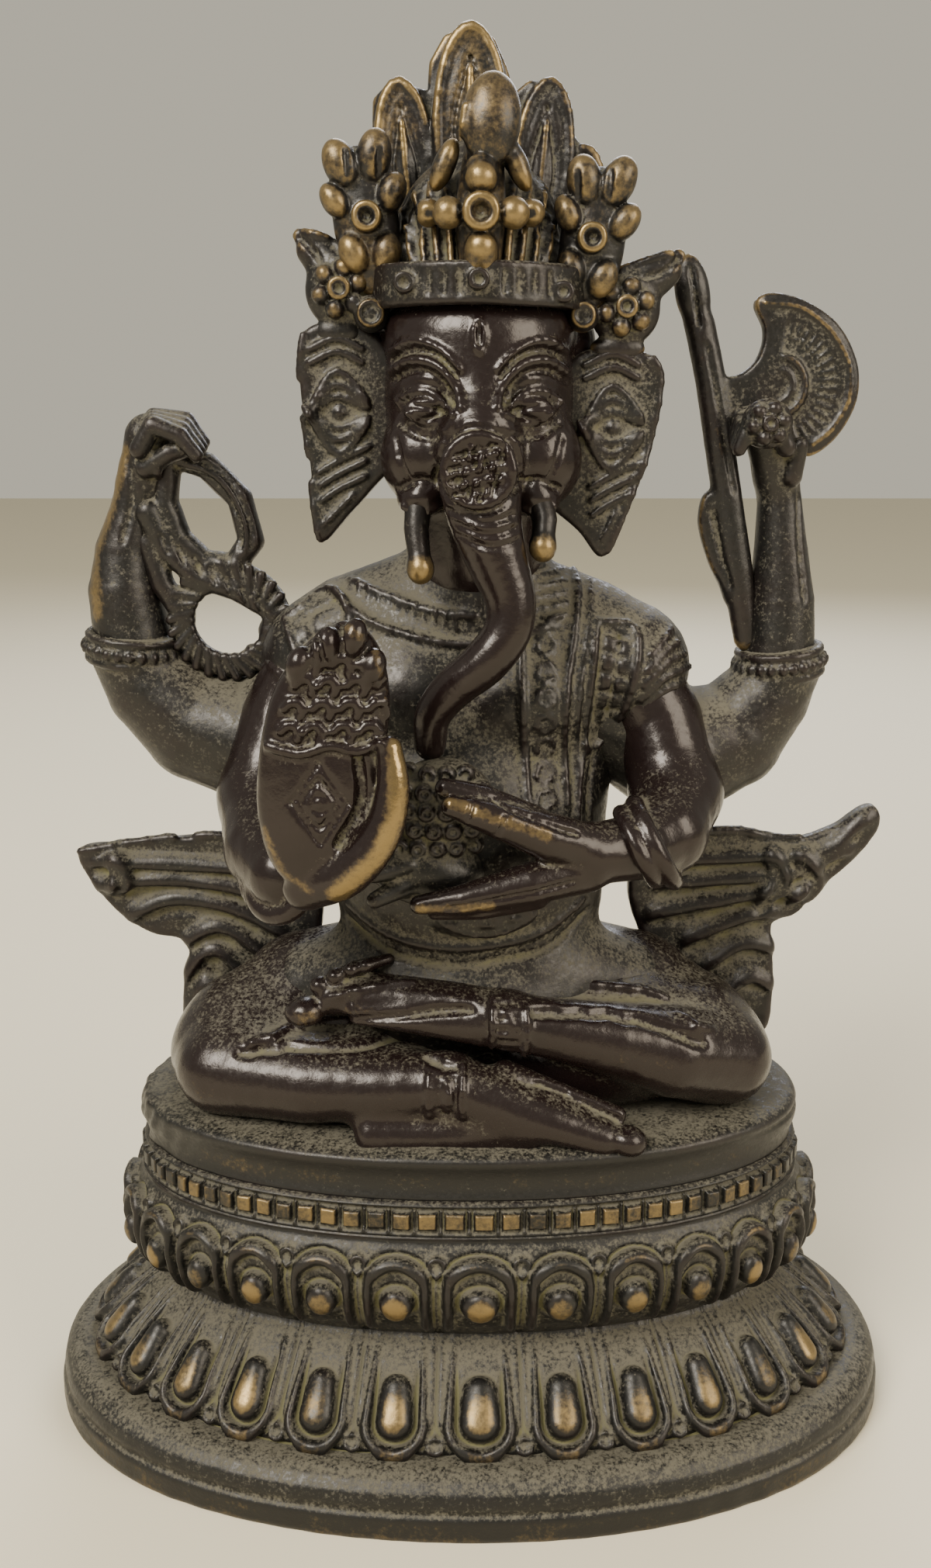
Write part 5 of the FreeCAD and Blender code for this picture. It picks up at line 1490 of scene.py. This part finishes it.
class BRONZE_OT_axe(bpy.types.Operator):
    """The battle-axe: a flat shaft with a leaf, and a half-moon blade with engraved rays"""
    bl_idname = "bronze.axe"
    bl_label = "Axe"

    def execute(self, context):
        clay = Clay((16.5, -2, 78), (41, 6.5, 121), 0.25)
        clay.join(rod([(28.2, 2.2, 81.4), (27.0, 2.4, 88), (25.4, 2.6, 97), (23.6, 2.8, 107), (22.4, 3, 112)],
                      [1.3, 1.6, 1.5, 1.5, 1.5], (1, 1.3, 1)), 0.5)
        clay.join(egg((21.6, 3, 115.0), (1.7, 1.1, 3.6), turn_by(0, -12, 0)), 0.5)
        clay.draw([(22.2, 111.8), (21.2, 117.4)], 0.22, -0.3)
        blade = [(26.6, 107.4), (28.2, 109.0), (28.6, 111.4), (27.6, 113.8), (28.8, 114.9), (32.0, 114.4),
                 (35.6, 112.2), (37.9, 108.4), (38.0, 104.6), (36.2, 101.2), (33.6, 99.4), (31.6, 100.6),
                 (29.0, 102.2), (25.6, 102.4), (23.4, 104), (23.2, 106.4)]
        clay.join(slab(blade, 2.2, 3.9, 0.45), 0.4)
        rim = [(28.6, 113.9), (32.0, 113.5), (35.0, 111.4), (37.0, 108.2),
               (37.1, 104.8), (35.6, 102.0), (33.6, 100.4)]
        clay.draw(rim, 0.3, 0.25)
        rays = np.radians(np.arange(-62, 84, 9))
        for ray in zip(arc(30.2, 106.2, 3.2, 3.4, rays), arc(30.2, 106.2, 5.9, 6.3, rays)):
            clay.draw(ray, 0.18, -0.24)
        for wide, tall, gap, width in ((2.6, 2.8, 20, 0.3), (1.4, 1.6, 30, 0.25)):
            clay.draw(arc(30.2, 106.2, wide, tall, np.radians(np.arange(-80, 100, gap))), width, width)
        leaf = [(25.0, 95.6), (23.4, 95.8), (22.9, 93.0), (23.9, 89.4),
                (25.2, 86.8), (26.2, 84.8), (27.2, 87), (26.8, 92)]
        clay.join(slab(leaf, 2.0, 3.6, 0.5), 0.5)
        clay.draw([(24.2, 94.0), (25.2, 89.8), (26.2, 86.6)], 0.22, -0.26)
        clay.draw([(26.2, 96), (24.4, 104), (23.0, 110)], 0.22, -0.2)
        clay.draw(rim, 0.3, 0.25, sign=-1)
        clay.rub(rim, 0.5, 0.35)
        model("axe", clay, finish("crown"), 0.05, 65)
        return {"FINISHED"}


class BRONZE_OT_front_arms(bpy.types.Operator):
    """The two front arms, down to their bangles"""
    bl_idname = "bronze.front_arms"
    bl_label = "Front arms"

    def execute(self, context):
        clay = Clay((-31, -21, 55), (-9, 8, 92), 0.3)
        clay.join(rod([(-14.8, 0.6, 80.5), (-18.4, -1.4, 73.5), (-20.4, -4.6, 66.6)], [4.8, 4.6, 4.4]), 1)
        clay.join(rod([(-20.4, -4.6, 66.4), (-19.4, -11.0, 63.0), (-17.2, -15.8, 62.0)], [4.4, 4.2, 3.5]),
                  1.5)
        clay.join(hoop((-17.4, -16.6, 61.8), 3.5, 1.0, turn_by(62, -36, 0)), 0.3)
        clay.join(hoop((-18.4, -15.2, 62.2), 3.7, 0.6, turn_by(62, -36, 0)), 0.2)
        for shift in (0, 1.3, 2.6):
            clay.draw([(-20.6 - shift * 0.3, 84.0 - shift * 1.2), (-16.0, 80.4 - shift * 1.4)], 0.35, 0.35)
        model("front_right_arm", clay, finish("face"), 0.05, 71)
        clay = Clay((9, -18.5, 56), (31, 8, 90), 0.3)
        clay.join(rod([(15.4, 0.6, 79), (18.9, -0.8, 73.4), (20.7, -4.0, 66.8)], [4.9, 4.6, 4.3]), 1)
        clay.join(rod([(20.7, -4.0, 66.8), (19.0, -9.0, 64.0), (16.2, -12.2, 63.6)], [4.4, 4.2, 3.3]), 1.5)
        clay.join(hoop((17.6, -11.8, 63.8), 4.1, 0.9, turn_by(0, 62, -34)), 0.3)
        clay.join(hoop((16.0, -12.6, 63.6), 3.6, 0.8, turn_by(0, 62, -34)), 0.3)
        model("front_left_arm", clay, finish("face"), 0.05, 72)
        return {"FINISHED"}


class BRONZE_OT_front_hands(bpy.types.Operator):
    """The blessing hand with its engraved palm, and the hand that offers sweets"""
    bl_idname = "bronze.front_hands"
    bl_label = "Front hands"

    def execute(self, context):
        clay = Clay((-21.5, -27, 58), (-2.5, -15, 89.5), 0.24)
        palm = [(-18.6, 71.5), (-17.8, 77.5), (-16.2, 81.6), (-13.6, 84.6), (-10.6, 86.2), (-8.2, 84.6),
                (-7.0, 81.0), (-7.2, 76.0), (-8.6, 70.0), (-10.6, 65.2),
                (-13.0, 62.4), (-15.8, 62.8), (-17.8, 66.2)]
        clay.join(slab(palm, -22.8, -19.2, 1.5), 0.5)
        clay.join(egg((-13.0, -21.2, 70), (5.0, 2.4, 7.6), turn_by(0, 10, 0)), 1.5)
        thumb = [(-14.6, -20.6, 62.2), (-10.6, -22.4, 64.2), (-7.6, -23.2, 68.0),
                 (-6.6, -23.2, 72.0), (-6.9, -22.9, 75.4)]
        clay.join(rod(*bend(thumb, [2.2, 2.1, 1.75, 1.45, 1.1])), 0.5)
        clay.draw([(-9.6, 74.6), (-9.4, 70.6), (-11.6, 66.6)], 0.5, -0.6)
        # the mark cut in the palm: a circle in nested diamonds
        x0, z0 = -13.0, 70.6

        def diamond(wide, tall):
            return [(x0, z0 + tall), (x0 + wide, z0), (x0, z0 - tall), (x0 - wide, z0), (x0, z0 + tall)]
        clay.draw(diamond(1.7, 2.21), 0.17, -0.2)
        for tips in (diamond(2.5, 3.6), diamond(1.6, 2.3)):
            for side in zip(tips, tips[1:]):
                clay.draw(side, 0.16, -0.2)
        clay.draw(arc(x0, z0, 0.75, 0.75, CIRCLE), 0.16, -0.2)
        # curled fingers, worn to a knot of waves
        draw = np.random.default_rng(17)
        for row, up in enumerate((76.4, 78.4, 80.4, 82.2)):
            for count in range(4):
                across = -16.4 + row * 0.7 + count * 2.35 + draw.uniform(-0.3, 0.3)
                clay.draw([(across, up + 0.5), (across + 0.9, up + 1.2), (across + 1.7, up + 0.4),
                           (across + 1.2, up - 0.5)], 0.42, 0.5)
        clay.draw([(-17.4, 75.6), (-14.6, 75.0), (-12.0, 75.7), (-9.6, 75.2), (-7.6, 76.0)], 0.42, 0.5)
        for spot, size in (((-14.6, -22.4, 82.6), 1.1), ((-12.2, -22.8, 84.2), 1.2),
                           ((-9.8, -23.0, 85.0), 1.15), ((-8.2, -22.6, 82.4), 1.1)):
            clay.join(egg(spot, (size, 1.3, size * 1.5), turn_by(0, 14, 0)), 0.35)
        clay.draw([(-12.9, 86), (-12.3, 83.0)], 0.25, -0.5)
        clay.draw([(-10.9, 86.4), (-10.5, 83.4)], 0.25, -0.5)
        # creases on the back
        for across in (-15, -12, -9.5):
            clay.draw([(across, 84), (across - 1, 76), (across - 1.5, 70)], 0.4, -0.35, sign=-1)
        clay.rub([(-11.6, 62.6), (-8.0, 66.0), (-6.2, 70.0), (-6.0, 75.6)], 2.0, 1.0)
        clay.rub([(-18.0, 68), (-16.4, 64), (-14.0, 62.6)], 1.3, 0.6)
        clay.rub([(-10.6, 86.2), (-8.2, 84.6), (-7.0, 80.0)], 1.0, 0.5)
        model("front_right_hand", clay, finish("face"), 0.04, 73)
        clay = Clay((-11, -24, 56), (19, -9, 74), 0.24)
        clay.join(rod([(16.4, -12.2, 63.6), (11.6, -14.4, 63.4)], [3.2, 2.9]), 0.8)
        clay.join(rod([(11.8, -14.4, 63.6), (7.4, -16.4, 65.6), (2.6, -17.6, 67.6), (-1.6, -18.2, 69.0)],
                      [2.5, 2.3, 1.7, 1.0]), 0.6)
        clay.join(rod([(6.0, -15.6, 66.8), (1.4, -16.2, 69.2), (-2.2, -16.8, 70.4)], [1.6, 1.3, 0.95]), 0.3)
        clay.join(rod([(11.0, -14.6, 62.2), (5.6, -16.6, 61.2), (-0.6, -17.6, 60.0), (-4.6, -17.9, 59.6)],
                      [2.4, 2.0, 1.4, 0.9]), 0.5)
        clay.join(rod([(6.2, -16.2, 60.0), (1.2, -16.8, 58.9), (-3.2, -17.2, 58.6)], [1.4, 1.1, 0.7]), 0.3)
        clay.draw([(9.8, 66.2), (6.4, 67.6), (2.2, 69.4)], 0.25, -0.3)
        clay.draw([(9.6, 61.6), (4.0, 60.6), (-2.4, 59.4)], 0.25, -0.28)
        clay.draw([(-0.2, 68.0), (0.4, 69.8)], 0.22, -0.24)
        clay.draw([(2.6, 66.6), (3.4, 68.6)], 0.22, -0.24)
        clay.rub([(7, 66.4), (2, 68.2), (-2, 69.8)], 1.3, 0.7)
        clay.rub([(2, 59.6), (-4.4, 59.4)], 1.2, 0.7)
        model("front_left_hand", clay, finish("face"), 0.04, 74)
        return {"FINISHED"}


class BRONZE_OT_sweets_bowl(bpy.types.Operator):
    """The leaf dish with its heap of small ring-shaped sweets"""
    bl_idname = "bronze.sweets_bowl"
    bl_label = "Bowl of sweets"

    def execute(self, context):
        clay = Clay((-12.5, -21, 56), (7, -5, 75.5), 0.22)
        clay.join(egg((-2.6, -11.8, 67.2), (5.2, 4.2, 4.9)), 0.5)
        clay.join(egg((-4.0, -12.6, 61.6), (5.6, 3.6, 3.4), turn_by(0, 12, 0)), 1.2)
        rows = ((64.2, 5), (66.0, 6), (67.8, 6), (69.5, 5), (71.0, 4))
        for row, (up, count) in enumerate(rows):
            for number in range(count):
                across = -2.8 + (number - (count - 1) / 2) * 1.75 + (0.4 if row % 2 else -0.2)
                place = clay.meet(np.array([[across, up]]))
                if len(place):
                    clay.join(egg(place[0] + [0, 0.1, 0], (0.95, 0.8, 0.95)), 0.1)
                    clay.carve(egg(place[0] - [0, 0.75, 0], (0.42, 0.5, 0.42)), 0.1)
        for start, end in (((-9.4, 63.4), (-6.0, 61.0)), ((-9.6, 61.4), (-5.6, 59.6)),
                           ((-8.4, 64.8), (-5.2, 62.6)), ((-7.0, 59.4), (-2.6, 58.8))):
            clay.draw(bowed(start, end, -0.4), 0.4, 0.45)
        clay.join(rod([(-5.6, -15, 62.6), (-8.8, -16.4, 62.0)], [1.2, 0.8]), 0.3)
        clay.join(rod([(-5.6, -15, 60.8), (-8.8, -16.6, 59.6)], [1.2, 0.8]), 0.3)
        model("sweets_bowl", clay, finish("body"), 0.04, 75)
        return {"FINISHED"}


SCARVES = {
    "right": [(-42.4, 57.6), (-36.5, 58.6), (-28, 59.4), (-21, 58.6), (-16.5, 55), (-16.6, 47), (-21, 40),
              (-27, 37.2), (-31.2, 36.6), (-31.8, 41), (-31.0, 47.0), (-35.2, 48.4), (-39.4, 51.8)],
    "left": [(43.2, 62.8), (44.2, 60.4), (41.6, 56.6), (38.0, 53.2), (35.6, 50.4), (33.2, 49.2), (33.6, 43),
             (33.0, 37.0), (29, 37.2), (22, 43), (18.0, 50), (17.6, 55.6),
             (22, 59.6), (28.6, 60.0), (34.6, 59.0), (39.6, 60.6)],
}


class BRONZE_OT_scarf_ends(bpy.types.Operator):
    """The fluttering ends of the scarf on either side, fluted like a wing"""
    bl_idname = "bronze.scarf_ends"
    bl_label = "Scarf ends"

    def execute(self, context):
        folds = {
            "right": [[(-40.6, 56.6), (-33, 56.2), (-24, 55.6), (-19, 54.4)],
                      [(-39.8, 54.0), (-33, 54.4), (-26, 53.6), (-19.6, 51.6)],
                      [(-36.4, 50.6), (-32, 52.2), (-26, 51.2), (-20, 48)],
                      [(-30.4, 47.6), (-27, 49.0), (-22.6, 45.6)],
                      [(-30.6, 43.6), (-28, 46.4), (-24.8, 42.8)],
                      [(-30.4, 39.4), (-28.8, 42.6), (-26.6, 39.6)],
                      [(-38.2, 57.0), (-37.4, 55.0), (-38.6, 53.4)]],
            "left": [[(42.6, 61.2), (38.2, 57.6), (30, 57.0), (21, 56.6)],
                     [(40.6, 58.0), (36, 55.4), (29, 54.6), (20.4, 54.0)],
                     [(36.6, 53.2), (33, 53.2), (27, 52.0), (20, 50.6)],
                     [(33.0, 50.8), (29.4, 50.0), (23.6, 47.4)], [(32.6, 46.8), (29.8, 47.0), (25.6, 44)],
                     [(32.6, 42.4), (30.6, 43.2), (28.2, 40.4)], [(35.8, 57.4), (37.6, 54.6), (35.2, 52.2)],
                     [(32.6, 57.6), (33.6, 54.8), (31.6, 52.4)]],
        }
        for label, side in (("right", -1), ("left", 1)):
            outline = SCARVES[label]
            across = [x for x, z in outline]
            clay = Clay((min(across) - 2, 1.5, 34.4), (max(across) + 2, 11.5, 65), 0.28)
            clay.join(slab(outline, 6.0, 7.8, 0.5), 0.3)
            for line in folds[label]:
                clay.draw(line, 0.8, 0.5, soft=1.0)
                clay.draw(line, 0.8, 0.45, sign=-1, soft=1.0)
                clay.draw([(x, z - 1.2) for x, z in line], 0.5, -0.25, soft=0.6)
            clay.draw(outline[:4] if side < 0 else outline[-4:], 0.5, 0.4)
            model(label + "_scarf_end", clay, finish("body"), 0.08, 81)
        return {"FINISHED"}


# ---------------------------------------------------------------- hidden parts and stage
class BRONZE_OT_hidden_parts(bpy.types.Operator):
    """The sheet under the foot, and the pins and tangs inside: the frame's own shapes, refinished"""
    bl_idname = "bronze.hidden_parts"
    bl_label = "Base plate, pins and tangs"

    def execute(self, context):
        for node, name in (("base_plate", "copper"), ("joining_pins", "brass"), ("seat_tangs", "brass")):
            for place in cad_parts[node].material_slots:
                place.material = finish(name)
        return {"FINISHED"}


SENSOR_MM, LENS_MM = 36.0, 33.84
LENS_SHIFT = -0.0025  # of the sensor's width
NEAREST = 0.01  # metres, the nearest thing that the camera sees
CAMERA_PLACE = (0, -0.147, 0.1025)  # metres
CAMERA_TILT = 13.7  # degrees that the camera looks down
LIT_SPOT = (0, 0, 0.07)  # metres, where the lamps aim: half way up the figure


def area_light(name, place, aim, size, power, colour):
    """A soft square lamp that faces a point. Lengths are in metres and power in watts."""
    data = bpy.data.lights.new(name, "AREA")
    data.size = size
    data.energy = power
    data.color = srgb(colour)[:3]
    lamp = bpy.data.objects.new(name, data)
    bpy.context.collection.objects.link(lamp)
    way = np.array(aim) - np.array(place)
    lamp.location = place
    lamp.rotation_euler = (math.atan2(math.hypot(way[0], way[1]), -way[2]), 0,
                           math.atan2(way[0], -way[1]) + math.pi)


class BRONZE_OT_stage(bpy.types.Operator):
    """Plain pale floor, soft light and the camera"""
    bl_idname = "bronze.stage"
    bl_label = "Stage"

    def execute(self, context):
        scene = context.scene
        bpy.ops.mesh.primitive_plane_add(size=4.0, location=(0, 0, 0))
        floor = context.active_object
        floor.name = "floor"
        floor.data.materials.append(plain_surface("matt emulsion paint, pale", "d9d2bd", 0.85, 0.0))
        world = scene.world or bpy.data.worlds.new("soft room light")
        scene.world = world
        world.use_nodes = True
        world.node_tree.nodes.clear()
        sky = add_node(world.node_tree, "ShaderNodeBackground", None, Color=srgb("efe8d4"), Strength=0.62)
        add_node(world.node_tree, "ShaderNodeOutputWorld", None, Surface=sky.outputs[0])
        area_light("window", (-0.35, -0.45, 0.55), LIT_SPOT, 0.35, 9.0, "fff6e6")
        area_light("room", (0.5, -0.35, 0.35), LIT_SPOT, 0.4, 4.0, "fff1da")
        area_light("rim", (0.1, 0.5, 0.45), LIT_SPOT, 0.4, 3.0, "f4f6ff")
        data = bpy.data.cameras.new("camera")
        data.sensor_width = SENSOR_MM
        data.lens = LENS_MM
        data.shift_x = LENS_SHIFT
        data.clip_start = NEAREST
        camera = bpy.data.objects.new("camera", data)
        context.collection.objects.link(camera)
        camera.location = CAMERA_PLACE
        camera.rotation_euler = (math.radians(90 - CAMERA_TILT), 0, 0)
        scene.camera = camera
        return {"FINISHED"}


STEPS = ("foot", "lower_lotus", "upper_lotus", "bead_rim", "seat_pad", "right_leg", "left_leg", "torso",
         "head", "ears", "tusks", "crown_band", "crown_cap", "crown_fan", "plaques", "ear_rosettes",
         "rear_arms", "noose", "axe", "front_arms", "front_hands",
         "sweets_bowl", "scarf_ends", "hidden_parts", "stage")


class BRONZE_PT_panel(bpy.types.Panel):
    """Lists each group of pieces with the sizes and colours that can be changed"""
    bl_idname = "BRONZE_PT_panel"
    bl_label = "Seated bronze"
    bl_space_type = "VIEW_3D"
    bl_region_type = "UI"
    bl_category = "Bronze"

    def draw(self, context):
        for group in (context.scene.bronze_base, context.scene.bronze_finish):
            for key in group.__annotations__:
                self.layout.prop(group, key)
        for step in STEPS:
            self.layout.operator("bronze." + step)


CLASSES = (BronzeBase, BronzeFinish, BRONZE_OT_foot, BRONZE_OT_lower_lotus, BRONZE_OT_upper_lotus,
           BRONZE_OT_bead_rim, BRONZE_OT_seat_pad, BRONZE_OT_right_leg, BRONZE_OT_left_leg, BRONZE_OT_torso,
           BRONZE_OT_head, BRONZE_OT_ears, BRONZE_OT_tusks, BRONZE_OT_crown_band, BRONZE_OT_crown_cap,
           BRONZE_OT_crown_fan, BRONZE_OT_plaques, BRONZE_OT_ear_rosettes, BRONZE_OT_rear_arms,
           BRONZE_OT_noose, BRONZE_OT_axe, BRONZE_OT_front_arms, BRONZE_OT_front_hands, BRONZE_OT_sweets_bowl,
           BRONZE_OT_scarf_ends, BRONZE_OT_hidden_parts, BRONZE_OT_stage, BRONZE_PT_panel)


def register():
    for item in CLASSES:
        bpy.utils.register_class(item)
    bpy.types.Scene.bronze_base = PointerProperty(type=BronzeBase)
    bpy.types.Scene.bronze_finish = PointerProperty(type=BronzeFinish)


def unregister():
    del bpy.types.Scene.bronze_finish
    del bpy.types.Scene.bronze_base
    for item in reversed(CLASSES):
        bpy.utils.unregister_class(item)


def main():
    """Make every piece and the stage."""
    register()
    for step in STEPS:
        getattr(bpy.ops.bronze, step)()


if __name__ == "__main__":
    main()
